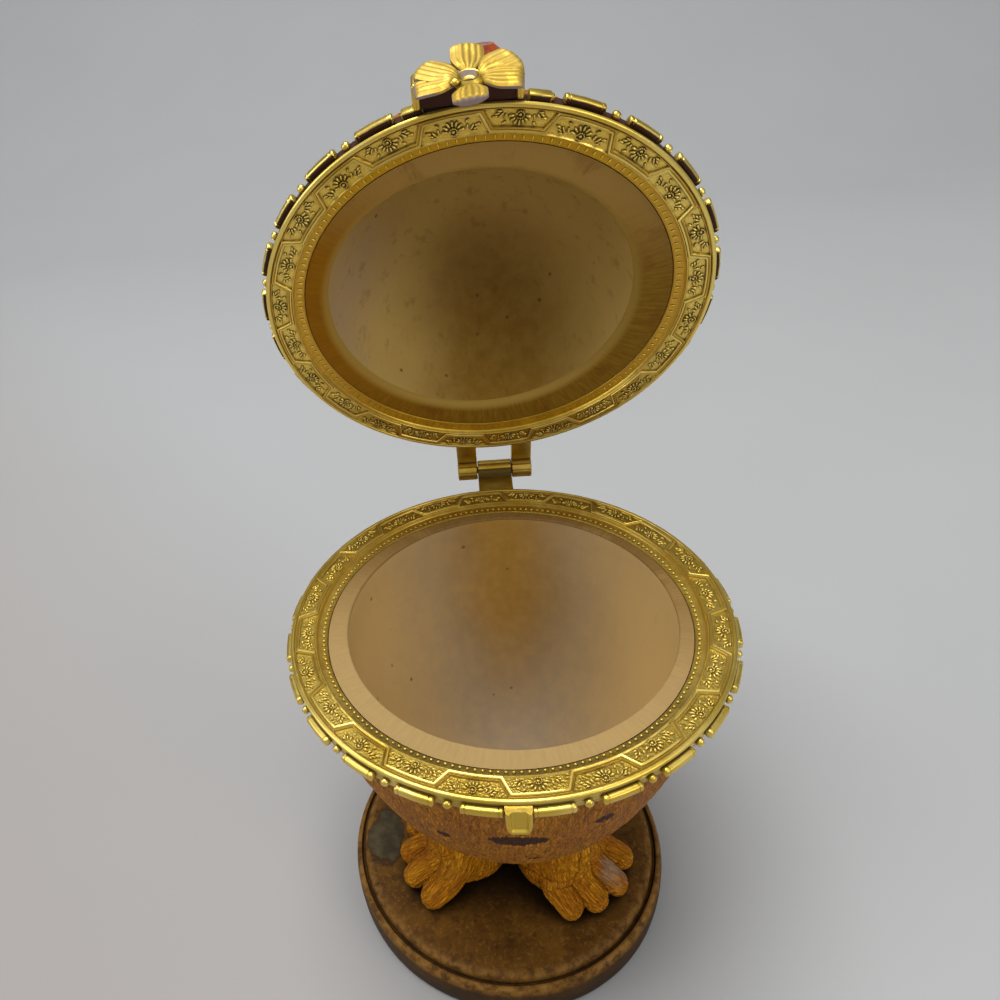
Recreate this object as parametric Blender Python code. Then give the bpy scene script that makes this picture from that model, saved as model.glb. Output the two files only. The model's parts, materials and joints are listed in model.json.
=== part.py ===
"""Hinged egg trinket box on three cat's paws and a round base, standing with its lid open.

Metres, +Z up.  The origin is on the flat underside, straight below the centre of the gilt rims.
The lid's pieces are modelled closed and hang on an empty that lies on the hinge pin.
"""
import math

import bmesh
import bpy
from mathutils import Matrix, Vector

MM = 0.001
CLEARANCE = 0.3 * MM            # left between pieces that touch
SEGMENTS = 38                   # round a full turn of the shells and the base
RIM_SEGMENTS = 48

# Heights and the hinge
PARTING_Z = 64.8 * MM           # plane in which the two rims meet when the box is shut
HINGE_Y = 38.6 * MM             # pin, behind the rims
LID_OPEN = math.radians(69.4)   # how far the lid stands open

# Base disc
BASE_X = -1.9 * MM              # the disc is cast a little off the egg's axis
BASE_HEIGHT = 8.4 * MM
BASE_OUTLINE = [(27.9, 0.0), (28.4, 0.7), (28.6, 5.4), (28.4, 6.9), (27.8, 7.7), (27.35, 7.6),
                (26.95, 8.1), (26.2, 8.4)]  # radius and height, mm

# Gilt rims, depth measured from the parting plane into each rim
RIM_INNER = 26.9 * MM
RIM_WALL = 31.9 * MM
RIM_LIP = 32.3 * MM
RIM_DEPTH = 2.7 * MM
PANELS = 24
BORDER_OUTER = 31.25 * MM       # centre line of the raised border, along the outer lip
BORDER_INNER = 28.9 * MM        # and along the inner edge
BORDER_WIDTH = 0.45 * MM
LOWER_PANEL_PHASE = math.radians(266.8)
LID_PANEL_PHASE = math.radians(271.1)
SLANT_OUTER = math.radians(1.0)  # how far each slanting border leans at its two ends
SLANT_INNER = math.radians(1.2)
BAR_LENGTH = 5.2 * MM
BAR_HEIGHT = 1.15 * MM
BAR_PROUD = 33.1 * MM
STUD_RADIUS = 0.65 * MM
WALL_TRIM_DEPTH = 1.75 * MM     # middle of the bars and studs
RIM_OUTLINE = [(26.9, 2.7), (26.9, 1.25), (27.4, 0.9), (28.2, 0.8), (28.55, 0.25), (31.55, 0.25),
               (31.8, 0.0), (32.3, 0.35), (31.9, 0.9), (31.9, 2.7)]  # radius and depth, mm

# Egg shells
SHELL_RADIUS = 29.8 * MM
SHELL_START = 1.6 * MM          # the egg curve starts this far from the parting plane
SHELF_DEPTH = RIM_DEPTH + CLEARANCE
LEDGE_DEPTH = 1.5 * MM          # the shell's cut edge, inside the rim
LEDGE_RADIUS = RIM_INNER - CLEARANCE
BOWL_HEIGHT = 45.7 * MM
BOWL_POWER = 1.7                # below 2 draws the bowl in towards its foot
LID_HEIGHT = 35.0 * MM
LID_POWER = 1.4
BOWL_STEPS = 6                  # straight pieces of each egg curve
LID_STEPS = 5
CAVITY_STEPS = 5
BOWL_CAVITY_RADIUS = 24.1 * MM
BOWL_CAVITY_DEPTH = 39.0 * MM
BOWL_CAVITY_CENTRE = (0.3 * MM, 0.5 * MM)
LID_CAVITY_RADIUS = 22.4 * MM
LID_CAVITY_DEPTH = 27.0 * MM
LID_CAVITY_CENTRE = (-0.95 * MM, -0.25 * MM)

# Paws: the way each points, and its toes' tips forwards and sideways, mm
PAWS = [(math.radians(-41.5), [(19.2, -6.6), (21.6, -2.7), (22.6, 1.9), (20.7, 6.6)]),
        (math.radians(-156.0), [(19.0, -6.7), (21.9, -2.6), (23.0, 1.8), (21.8, 6.7)]),
        (math.radians(81.0), [(19.6, -6.8), (22.0, -2.4), (22.6, 2.1), (20.2, 6.7)])]
TOE_LENGTH = 10.6 * MM
TOE_WIDTH = 4.7 * MM
TOE_HEIGHT = 4.9 * MM
TOE_AXIS_Z = 2.3 * MM           # the toes' axes above the base
TOE_PITCH = math.radians(10.0)
TOE_SPREAD = math.radians(3.0)  # turn outwards for each millimetre sideways
TOE_PROFILE = [(0.0, -1.0), (0.66, -0.82), (0.94, -0.3), (1.0, 0.3), (0.78, 0.8), (0.0, 1.0)]
LEG_FORWARD = 10.8 * MM
LEG_RADII = (7.3 * MM, 6.2 * MM)
LEG_LENGTH = 17.0 * MM
LEG_MIDDLE = 9.6 * MM
LEG_LEAN = math.radians(8.0)
INSTEP_RADII = (7.9 * MM, 7.9 * MM, 6.2 * MM)
INSTEP_PLACE = (11.0 * MM, 2.6 * MM)  # forwards and up
INSTEP_PITCH = math.radians(9.0)

# Hinge
KNUCKLE_RADIUS = 1.75 * MM
KNUCKLE_EDGE = 3.1 * MM         # half the width of the middle knuckle
HINGE_HALF = 6.9 * MM
PIN_RADIUS = 0.6 * MM
ARM_THICKNESS = 1.9 * MM

# Clasp
CLASP_X = -0.9 * MM
CLASP_Z = 1.4 * MM              # middle of the flower above the parting plane
CLASP_FRONT = 36.2 * MM         # distance of its plate from the egg's axis
PETALS = [(90.0, 1.8), (147.0, 2.25), (192.0, 2.25), (270.0, 2.1), (348.0, 2.25), (33.0, 2.25)]  # way, half width
TONGUE_HALF = 1.65 * MM
TONGUE_LENGTH = 3.1 * MM
TONGUE_PROUD = 34.3 * MM

# Jewel and its collet, on the lid just above the clasp; heights measured out from the shell
JEWEL_X = 1.2 * MM
JEWEL_Z = 9.0 * MM
JEWEL_RADIUS = 2.4 * MM
JEWEL_TOP = 6.0 * MM
COLLET_RADIUS = 2.3 * MM
COLLET_TOP = 3.4 * MM


def clear_scene():
    for item in list(bpy.data.objects):
        bpy.data.objects.remove(item, do_unlink=True)


def material(name, colour, roughness, metallic=0.0):
    mat = bpy.data.materials.new(name)
    mat.use_nodes = True
    shader = mat.node_tree.nodes["Principled BSDF"]
    shader.inputs["Base Color"].default_value = (*colour, 1.0)
    shader.inputs["Roughness"].default_value = roughness
    shader.inputs["Metallic"].default_value = metallic
    mat.diffuse_color = (*colour, 1.0)
    return mat


def add_object(name, bm, mat=None):
    """Turn a bmesh into a linked object with its faces pointing out."""
    bmesh.ops.remove_doubles(bm, verts=bm.verts, dist=1e-6)
    bmesh.ops.recalc_face_normals(bm, faces=bm.faces)
    mesh = bpy.data.meshes.new(name)
    bm.to_mesh(mesh)
    bm.free()
    mesh.shade_smooth()
    mesh.set_sharp_from_angle(angle=math.radians(35.0))
    if mat is not None:
        mesh.materials.append(mat)
    item = bpy.data.objects.new(name, mesh)
    bpy.context.scene.collection.objects.link(item)
    return item


def combine(target, tool, operation):
    """Apply one Boolean to the target's mesh and drop the tool."""
    cut = target.modifiers.new(operation.lower(), "BOOLEAN")
    cut.operation = operation
    cut.object = tool
    cut.solver = "EXACT"
    bpy.context.view_layer.update()
    graph = bpy.context.evaluated_depsgraph_get()
    mesh = bpy.data.meshes.new_from_object(target.evaluated_get(graph))
    target.modifiers.clear()
    old = target.data
    mesh.name = target.name
    target.data = mesh
    bpy.data.meshes.remove(old)
    bpy.data.objects.remove(tool, do_unlink=True)
    mesh.shade_smooth()
    mesh.set_sharp_from_angle(angle=math.radians(35.0))
    return target


def add_turned(bm, profile, centre=(0.0, 0.0), segments=SEGMENTS):
    """Turn a profile of (radius, height) about the vertical through the centre.

    A profile that starts and ends on the axis closes at its poles; any other closes on itself.
    """
    rings = []
    for radius, height in profile:
        if radius < 1e-9:
            rings.append([bm.verts.new((centre[0], centre[1], height))] * segments)
            continue
        turn = [2.0 * math.pi * k / segments for k in range(segments)]
        rings.append([bm.verts.new((centre[0] + radius * math.cos(a),
                                    centre[1] + radius * math.sin(a), height)) for a in turn])
    closed_on_axis = profile[0][0] < 1e-9 and profile[-1][0] < 1e-9
    pairs = list(zip(rings, rings[1:]))
    if not closed_on_axis:
        pairs.append((rings[-1], rings[0]))
    for lower, upper in pairs:
        for k in range(segments):
            n = (k + 1) % segments
            corners = [lower[k], lower[n], upper[n], upper[k]]
            corners = [v for i, v in enumerate(corners) if v not in corners[:i]]
            if len(corners) > 2:
                bm.faces.new(corners)


def add_box(bm, low, high):
    """Axis-aligned box between two corners."""
    size = Vector(high) - Vector(low)
    middle = (Vector(high) + Vector(low)) / 2.0
    place = Matrix.Translation(middle) @ Matrix.Diagonal((*size, 1.0))
    bmesh.ops.create_cube(bm, size=1.0, matrix=place)


def add_rod_along_x(bm, radius, x_low, x_high, y, z, sides):
    """Cylinder lying along X."""
    place = Matrix.Translation(((x_low + x_high) / 2.0, y, z)) @ Matrix.Rotation(math.pi / 2.0, 4, "Y")
    bmesh.ops.create_cone(bm, cap_ends=True, segments=sides, radius1=radius, radius2=radius,
                          depth=x_high - x_low, matrix=place)


def add_ellipsoid(bm, radii, place, sides=10, rings=6, floor=None):
    """Ellipsoid; whatever would sink below the floor is flattened onto it."""
    made = bmesh.ops.create_uvsphere(bm, u_segments=sides, v_segments=rings, radius=1.0,
                                     matrix=place @ Matrix.Diagonal((*radii, 1.0)))
    if floor is not None:
        for vert in made["verts"]:
            vert.co.z = max(vert.co.z, floor)


def polar(radius, angle, height):
    return Vector((radius * math.cos(angle), radius * math.sin(angle), height))


def egg_curve(height, power, steps):
    """(radius, distance from the parting plane) from the shelf to the tip of the egg."""
    start = math.asin((SHELF_DEPTH - SHELL_START) / height)
    points = []
    for k in range(steps + 1):
        turn = start + (math.pi / 2.0 - start) * k / steps
        depth = height * math.sin(turn)
        radius = SHELL_RADIUS * math.sqrt(max(0.0, 1.0 - (depth / height) ** power))
        points.append((radius, SHELL_START + depth))
    points[-1] = (0.0, SHELL_START + height)
    return points


def shell_solid(name, side, height, power, steps, mat):
    """Solid half egg with a shelf for the rim; side is -1 for the bowl and +1 for the lid."""
    outline = [(0.0, LEDGE_DEPTH), (LEDGE_RADIUS, LEDGE_DEPTH), (LEDGE_RADIUS, SHELF_DEPTH)]
    outline += egg_curve(height, power, steps)
    bm = bmesh.new()
    add_turned(bm, [(radius, PARTING_Z + side * depth) for radius, depth in outline])
    return add_object(name, bm, mat)


def cavity_tool(side, radius, depth, centre):
    """Rounded hollow that opens through the ledge."""
    outline = [(0.0, -radius), (radius, -radius)]
    for k in range(CAVITY_STEPS + 1):
        turn = math.pi / 2.0 * k / CAVITY_STEPS
        outline.append((radius * math.cos(turn), LEDGE_DEPTH + depth * math.sin(turn)))
    outline[-1] = (0.0, LEDGE_DEPTH + depth)
    bm = bmesh.new()
    add_turned(bm, [(r, PARTING_Z + side * d) for r, d in outline], centre)
    return add_object("cavity", bm)


def paw_tool(angle, toes):
    """One cat's paw: a leg that runs up into the bowl, an instep and four toes."""
    floor = BASE_HEIGHT + CLEARANCE
    turn = Matrix.Rotation(angle, 4, "Z")

    def place(forward, sideways, height, yaw=0.0, pitch=0.0):
        spot = Matrix.Translation((forward, sideways, floor + height))
        return turn @ spot @ Matrix.Rotation(yaw, 4, "Z") @ Matrix.Rotation(pitch, 4, "Y")

    leg = bmesh.new()
    bmesh.ops.create_cone(leg, cap_ends=True, segments=10, radius1=LEG_RADII[0], radius2=LEG_RADII[1],
                          depth=LEG_LENGTH, matrix=place(LEG_FORWARD, 0.0, LEG_MIDDLE, pitch=-LEG_LEAN))
    for vert in leg.verts:
        vert.co.z = max(vert.co.z, floor)
    paw = add_object("paw", leg)

    instep = bmesh.new()
    forward, height = INSTEP_PLACE
    add_ellipsoid(instep, INSTEP_RADII, place(forward, 0.0, height, pitch=INSTEP_PITCH), 10, 5, floor)
    combine(paw, add_object("instep", instep), "UNION")

    lying = Matrix.Rotation(math.pi / 2.0, 4, "Y")
    size = Matrix.Diagonal((TOE_LENGTH / 2.0, TOE_WIDTH / 2.0, TOE_HEIGHT / 2.0, 1.0))
    for tip, sideways in toes:
        toe = bmesh.new()
        add_turned(toe, TOE_PROFILE, segments=8)
        spot = place(tip * MM - TOE_LENGTH / 2.0, 0.93 * sideways * MM, TOE_AXIS_Z,
                     TOE_SPREAD * sideways, TOE_PITCH)
        toe.transform(spot @ size @ lying)
        for vert in toe.verts:
            vert.co.z = max(vert.co.z, floor)
        combine(paw, add_object("toe", toe), "UNION")
    return paw


def border_points(phase, swap):
    """Centre line of the raised border, which zigzags between the two edges of the panels."""
    step = 2.0 * math.pi / PANELS
    points = []
    for k in range(PANELS):
        sign = (1.0 if k % 2 == 0 else -1.0) * (-1.0 if swap else 1.0)
        corner = phase + k * step
        ends = [polar(BORDER_OUTER, corner - sign * SLANT_OUTER, 0.0),
                polar(BORDER_INNER, corner + sign * SLANT_INNER, 0.0)]
        if sign > 0:
            points += ends
        else:
            points += ends[::-1]
    return points


def add_border(bm, points, z_low, z_high):
    """Closed strip of even width along a level loop of points."""
    half = BORDER_WIDTH / 2.0
    count = len(points)
    rows = []
    for k, here in enumerate(points):
        into = (here - points[k - 1]).normalized()
        out = (points[(k + 1) % count] - here).normalized()
        bisector = (into + out).normalized()
        across = Vector((bisector.y, -bisector.x, 0.0))
        reach = half / max(0.4, Vector((into.y, -into.x, 0.0)).dot(across))
        rows.append([bm.verts.new((here + across * w)[:2] + (z,))
                     for w, z in ((-reach, z_low), (reach, z_low), (reach, z_high), (-reach, z_high))])
    for k in range(count):
        for c in range(4):
            d = (c + 1) % 4
            bm.faces.new((rows[k][c], rows[k][d], rows[(k + 1) % count][d], rows[(k + 1) % count][c]))


def add_bar(bm, angle, z):
    """Long rounded bar on a rim's wall."""
    section = [(RIM_WALL - 0.5 * MM, -0.5), (BAR_PROUD, -0.25), (BAR_PROUD, 0.25), (RIM_WALL - 0.5 * MM, 0.5)]
    turn = Matrix.Rotation(angle, 3, "Z")
    ends = []
    for side in (-1.0, 1.0):
        ring = []
        for radius, level in section:
            taper = 0.4 * MM if radius >= BAR_PROUD else 0.0
            along = side * (BAR_LENGTH / 2.0 - taper)
            ring.append(bm.verts.new(turn @ Vector((radius, along, z + level * BAR_HEIGHT))))
        ends.append(ring)
    for k in range(len(section)):
        n = (k + 1) % len(section)
        bm.faces.new((ends[0][k], ends[0][n], ends[1][n], ends[1][k]))
    bm.faces.new(ends[0])
    bm.faces.new(ends[1][::-1])


def add_stud(bm, angle, z):
    """Small round stud between two bars."""
    place = Matrix.Rotation(angle, 4, "Z") @ Matrix.Translation((RIM_WALL + 0.1 * MM, 0.0, z))
    place = place @ Matrix.Rotation(math.pi / 2.0, 4, "Y")
    bmesh.ops.create_cone(bm, cap_ends=True, segments=5, radius1=STUD_RADIUS, radius2=0.35 * MM,
                          depth=1.6 * MM, matrix=place)


def rim(name, side, phase, mat):
    """Gilt rim with its panel border, bars and studs; side is -1 below and +1 on the lid."""
    face = PARTING_Z + side * CLEARANCE / 2.0
    deepest = RIM_DEPTH - CLEARANCE / 2.0
    bm = bmesh.new()
    add_turned(bm, [(radius * MM, face + side * min(depth * MM, deepest)) for radius, depth in RIM_OUTLINE],
               segments=RIM_SEGMENTS)
    ring = add_object(name, bm, mat)

    trim = bmesh.new()
    levels = sorted((face + side * 0.05 * MM, face + side * 0.6 * MM))
    add_border(trim, border_points(phase, side > 0), *levels)
    wall_z = face + side * WALL_TRIM_DEPTH
    front, back = 18, 6         # twenty-fourths of a turn from +X
    for k in range(PANELS):
        at_clasp = side > 0 and k in (front - 1, front)
        if k not in (back - 1, back) and not at_clasp:
            add_bar(trim, 2.0 * math.pi * (k + 0.5) / PANELS, wall_z)
        if k not in (front, back):
            add_stud(trim, 2.0 * math.pi * k / PANELS, wall_z)
    return combine(ring, add_object("trim", trim), "UNION")


def add_hinge_half(ring, side, spans):
    """Join knuckles to a rim by short arms and bore them for the pin."""
    for x_low, x_high in spans:
        arm = bmesh.new()
        inner, outer = sorted((PARTING_Z + side * 0.5 * MM, PARTING_Z + side * (0.5 * MM + ARM_THICKNESS)))
        add_box(arm, (x_low, RIM_WALL - 1.4 * MM, inner), (x_high, HINGE_Y, outer))
        combine(ring, add_object("arm", arm), "UNION")
        knuckle = bmesh.new()
        add_rod_along_x(knuckle, KNUCKLE_RADIUS, x_low - 1e-5, x_high + 1e-5, HINGE_Y, PARTING_Z, 12)
        combine(ring, add_object("knuckle", knuckle), "UNION")
    bore = bmesh.new()
    add_rod_along_x(bore, PIN_RADIUS + CLEARANCE, -HINGE_HALF - MM, HINGE_HALF + MM, HINGE_Y, PARTING_Z, 10)
    return combine(ring, add_object("bore", bore), "DIFFERENCE")


def base_disc(mat):
    outline = [(0.0, 0.0)] + [(radius * MM, height * MM) for radius, height in BASE_OUTLINE] + [(0.0, BASE_HEIGHT)]
    bm = bmesh.new()
    add_turned(bm, outline, (BASE_X, 0.0))
    return add_object("base_disc", bm, mat)


def egg_bowl(mat):
    bowl = shell_solid("egg_bowl_with_paws", -1.0, BOWL_HEIGHT, BOWL_POWER, BOWL_STEPS, mat)
    for angle, toes in PAWS:
        combine(bowl, paw_tool(angle, toes), "UNION")
    return combine(bowl, cavity_tool(-1.0, BOWL_CAVITY_RADIUS, BOWL_CAVITY_DEPTH, BOWL_CAVITY_CENTRE),
                   "DIFFERENCE")


def egg_lid(mat):
    lid = shell_solid("egg_lid", 1.0, LID_HEIGHT, LID_POWER, LID_STEPS, mat)
    return combine(lid, cavity_tool(1.0, LID_CAVITY_RADIUS, LID_CAVITY_DEPTH, LID_CAVITY_CENTRE),
                   "DIFFERENCE")


def lower_rim(mat):
    ring = rim("lower_rim", -1.0, LOWER_PANEL_PHASE, mat)
    add_hinge_half(ring, -1.0, [(-KNUCKLE_EDGE, KNUCKLE_EDGE)])
    tongue = bmesh.new()
    top = PARTING_Z - 0.7 * MM
    add_box(tongue, (-TONGUE_HALF, -TONGUE_PROUD, top - TONGUE_LENGTH), (TONGUE_HALF, -RIM_INNER - 3.0 * MM, top))
    outer_edges = [e for e in tongue.edges if all(v.co.y < -TONGUE_PROUD + 1e-6 for v in e.verts)]
    bmesh.ops.bevel(tongue, geom=outer_edges, offset=0.5 * MM, segments=1, affect="EDGES")
    return combine(ring, add_object("tongue", tongue), "UNION")


def lid_rim(mat):
    ring = rim("lid_rim", 1.0, LID_PANEL_PHASE, mat)
    near = KNUCKLE_EDGE + CLEARANCE
    return add_hinge_half(ring, 1.0, [(near, HINGE_HALF), (-HINGE_HALF, -near)])


def hinge_pin(mat):
    bm = bmesh.new()
    reach = HINGE_HALF - 0.1 * MM
    add_rod_along_x(bm, PIN_RADIUS, -reach, reach, HINGE_Y, PARTING_Z, 8)
    return add_object("hinge_pin", bm, mat)


def flower_clasp(mat):
    """Six grooved petals on a plate that two brackets hold off the lid's rim."""
    centre = Vector((CLASP_X, -CLASP_FRONT + 0.75 * MM, PARTING_Z + CLASP_Z))
    plate = bmesh.new()
    place = Matrix.Translation(centre) @ Matrix.Rotation(math.pi / 2.0, 4, "X")
    bmesh.ops.create_cone(plate, cap_ends=True, segments=12, radius1=2.6 * MM, radius2=2.6 * MM,
                          depth=1.1 * MM, matrix=place)
    clasp = add_object("flower_clasp", plate, mat)
    for angle, half in PETALS:
        spot = place @ Matrix.Rotation(math.radians(angle), 4, "Z") @ Matrix.Translation((3.75 * MM, 0.0, 0.0))
        spot = spot @ Matrix.Rotation(math.radians(7.0), 4, "X")  # each petal overlaps the next
        petal = bmesh.new()
        add_ellipsoid(petal, (2.85 * MM, half * MM, 0.75 * MM), spot, 8, 5)
        combine(clasp, add_object("petal", petal), "UNION")
    for side in (-1.0, 1.0):
        bracket = bmesh.new()
        middle = CLASP_X + side * 5.6 * MM
        add_box(bracket, (middle - 0.5 * MM, centre.y, PARTING_Z + 0.5 * MM),
                (middle + 0.5 * MM, -RIM_LIP + 0.1 * MM, PARTING_Z + 3.2 * MM))
        combine(clasp, add_object("bracket", bracket), "UNION")
    return clasp


def jewel_place():
    """Frame on the lid's surface with Z square to the shell."""
    def radius_at(z):
        return SHELL_RADIUS * math.sqrt(1.0 - ((z - SHELL_START) / LID_HEIGHT) ** LID_POWER)

    step = 0.1 * MM
    radius = radius_at(JEWEL_Z)
    normal = Vector((0.0, -step, radius - radius_at(JEWEL_Z + step))).normalized()
    seat = Vector((JEWEL_X, -radius, PARTING_Z + JEWEL_Z))
    return Matrix.Translation(seat) @ normal.to_track_quat("Z", "Y").to_matrix().to_4x4()


def jewel_collet(mat):
    """Short gilt cup that carries the stone."""
    low = 2.0 * CLEARANCE
    bm = bmesh.new()
    add_turned(bm, [(0.0, low), (1.6 * MM, low), (1.7 * MM, 2.0 * MM), (COLLET_RADIUS, 2.6 * MM),
                    (COLLET_RADIUS, COLLET_TOP), (0.0, COLLET_TOP)], segments=12)
    bm.transform(jewel_place())
    return add_object("jewel_collet", bm, mat)


def jewel(mat):
    """Faceted stone seated on the collet."""
    low = COLLET_TOP + CLEARANCE
    outline = [(0.0, low), (2.1 * MM, low), (JEWEL_RADIUS, low + 0.5 * MM), (1.7 * MM, JEWEL_TOP - 0.7 * MM),
               (1.0 * MM, JEWEL_TOP), (0.0, JEWEL_TOP)]
    bm = bmesh.new()
    add_turned(bm, outline, segments=10)
    bm.transform(jewel_place())
    stone = add_object("amber_jewel", bm, mat)
    stone.data.shade_flat()
    return stone


def build():
    clear_scene()
    bronze = material("antique_bronze_paint", (0.16, 0.09, 0.045), 0.45, 0.6)
    fur = material("tan_leopard_paint", (0.62, 0.30, 0.09), 0.55)
    gilt = material("gilt_metal", (0.83, 0.62, 0.25), 0.28, 1.0)
    stone = material("amber_stone", (0.45, 0.05, 0.01), 0.08)

    base_disc(bronze)
    egg_bowl(fur)
    lower_rim(gilt)
    hinge_pin(gilt)

    hinge = bpy.data.objects.new("lid_hinge_axis", None)
    bpy.context.scene.collection.objects.link(hinge)
    hinge.location = (0.0, HINGE_Y, PARTING_Z)
    for piece in (egg_lid(fur), lid_rim(gilt), flower_clasp(gilt), jewel_collet(gilt), jewel(stone)):
        piece.data.transform(Matrix.Translation(-hinge.location))
        piece.parent = hinge
    hinge.rotation_euler = (-LID_OPEN, 0.0, 0.0)
    bpy.context.view_layer.update()


build()
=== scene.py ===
"""Looks of the leopard egg trinket box: gilt rims, carved fur, cat's paws, bronze base, flower clasp."""
import json
import random
from math import asin, copysign, cos, dist, exp, pi, radians, sin, sqrt

import bmesh
import bpy
import numpy as np
from mathutils import Matrix, Vector, noise


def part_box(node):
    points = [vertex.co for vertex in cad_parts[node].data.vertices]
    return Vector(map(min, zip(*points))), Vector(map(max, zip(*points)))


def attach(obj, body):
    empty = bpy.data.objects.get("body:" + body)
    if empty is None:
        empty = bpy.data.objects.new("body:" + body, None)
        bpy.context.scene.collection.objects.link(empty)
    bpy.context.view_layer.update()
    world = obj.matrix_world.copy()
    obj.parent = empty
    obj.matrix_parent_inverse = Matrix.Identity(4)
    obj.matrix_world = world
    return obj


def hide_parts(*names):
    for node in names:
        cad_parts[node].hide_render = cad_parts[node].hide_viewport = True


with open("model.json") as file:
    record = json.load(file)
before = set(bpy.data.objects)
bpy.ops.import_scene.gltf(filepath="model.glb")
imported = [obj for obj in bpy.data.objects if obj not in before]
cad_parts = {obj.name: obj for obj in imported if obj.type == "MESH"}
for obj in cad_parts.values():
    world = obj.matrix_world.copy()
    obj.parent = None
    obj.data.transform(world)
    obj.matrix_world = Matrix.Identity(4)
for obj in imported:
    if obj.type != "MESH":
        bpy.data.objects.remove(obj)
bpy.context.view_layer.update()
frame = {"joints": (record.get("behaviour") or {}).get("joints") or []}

MM = 0.001
TAU = 2.0 * pi
QUARTER = pi / 2.0

# The frame's own places
HINGE = Vector(frame["joints"][0]["pos_m"])
LID_OPEN = -radians(frame["joints"][0]["range_deg"][0])
PARTING = HINGE.z                       # plane where the rims meet when the box is shut
BASE_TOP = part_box("base_disc")[1].z
PAW_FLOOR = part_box("egg_bowl_with_paws")[0].z
TO_LID = Matrix.Translation(HINGE) @ Matrix.Rotation(-LID_OPEN, 4, "X") @ Matrix.Translation(-HINGE)

# Rims
RIM_FACE = PARTING - 0.15 * MM          # the lower rim's face; the lid's mirrors it
PANELS = 24
STEP = TAU / PANELS
BORDER_OUTER = 31.22 * MM
BORDER_INNER = 28.92 * MM
SLANT_OUTER = radians(1.0)
SLANT_INNER = radians(1.2)
LOWER_PHASE = radians(266.8)
LID_PHASE = radians(271.6)
BAR_RADIUS = 32.53 * MM                 # distance of the bars from the egg's axis
STUD_RADIUS = BAR_RADIUS - 0.12 * MM
BAR_LEVEL = RIM_FACE - 1.6 * MM
BAR_LENGTH = 5.3 * MM
BAR_PHASE = radians(-0.8)
STUD_RUNS = ((7, 11), (19, 11))         # first step and number of studs in each run

# Hinge, places across it in x
HINGE_SHIFT = 0.45 * MM
MIDDLE_HALF = 3.08 * MM
NEAR, FAR = 3.18 * MM, 6.75 * MM        # where the lid's two leaves begin and end, either side of the middle
CLEAN = 0.10                            # wash on the knuckles where they are rubbed clean

# Egg shells
SHELL_RADIUS = 29.8 * MM
SHELL_START = 1.6 * MM
SHELF = 3.0 * MM
LEDGE = 1.5 * MM
LEDGE_RADIUS = 26.7 * MM
BOWL = {"height": 45.7 * MM, "power": 1.7, "cavity": 39.0 * MM, "mouth": 24.35 * MM, "fillet": 0.35 * MM,
        "centre": (0.55 * MM, 0.75 * MM)}
LID = {"height": 34.82 * MM, "power": 1.4, "cavity": 27.0 * MM, "mouth": 22.4 * MM, "fillet": 1.3 * MM,
       "centre": (-0.95 * MM, -0.25 * MM)}

# Paws: the way each one points, and the tip and side offset of its toes, mm
PAWS = [(radians(-41.5), [(19.2, -6.6), (21.6, -2.7), (22.6, 1.9), (20.7, 6.6)]),
        (radians(-156.0), [(19.0, -6.7), (21.9, -2.6), (23.0, 1.8), (21.8, 6.7)]),
        (radians(81.0), [(19.6, -6.8), (22.0, -2.4), (22.6, 2.1), (20.2, 6.7)])]

# Clasp and jewel
CLASP = Vector((-0.9 * MM, -35.45 * MM, PARTING + 0.3 * MM))
CLASP_FACE = Matrix.Translation(CLASP) @ Matrix.Rotation(QUARTER, 4, "X")
JEWEL = Vector((1.2 * MM, 0.0, 9.0 * MM))


# ---- shader helpers

class Nodes:
    """Adds and links the nodes of one node tree."""

    def __init__(self, tree):
        self.tree = tree

    def feed(self, socket, value):
        if isinstance(value, bpy.types.NodeSocket):
            self.tree.links.new(value, socket)
        elif value is not None:
            socket.default_value = (*value, 1.0) if socket.type == "RGBA" else value

    def node(self, kind, inputs=(), **settings):
        """Outputs of a new node."""
        made = self.tree.nodes.new(kind)
        for key, value in settings.items():
            setattr(made, key, value)
        for key, value in dict(inputs).items():
            self.feed(made.inputs[key], value)
        return made.outputs

    def math(self, op, *values, clamp=False):
        return self.node("ShaderNodeMath", enumerate(values), operation=op, use_clamp=clamp)[0]

    def plus(self, a, b):
        return self.math("ADD", a, b)

    def times(self, a, b):
        return self.math("MULTIPLY", a, b)

    def split(self, place):
        return self.node("ShaderNodeSeparateXYZ", {0: place})

    def place(self, *parts):
        return self.node("ShaderNodeCombineXYZ", enumerate(parts))[0]


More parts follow.
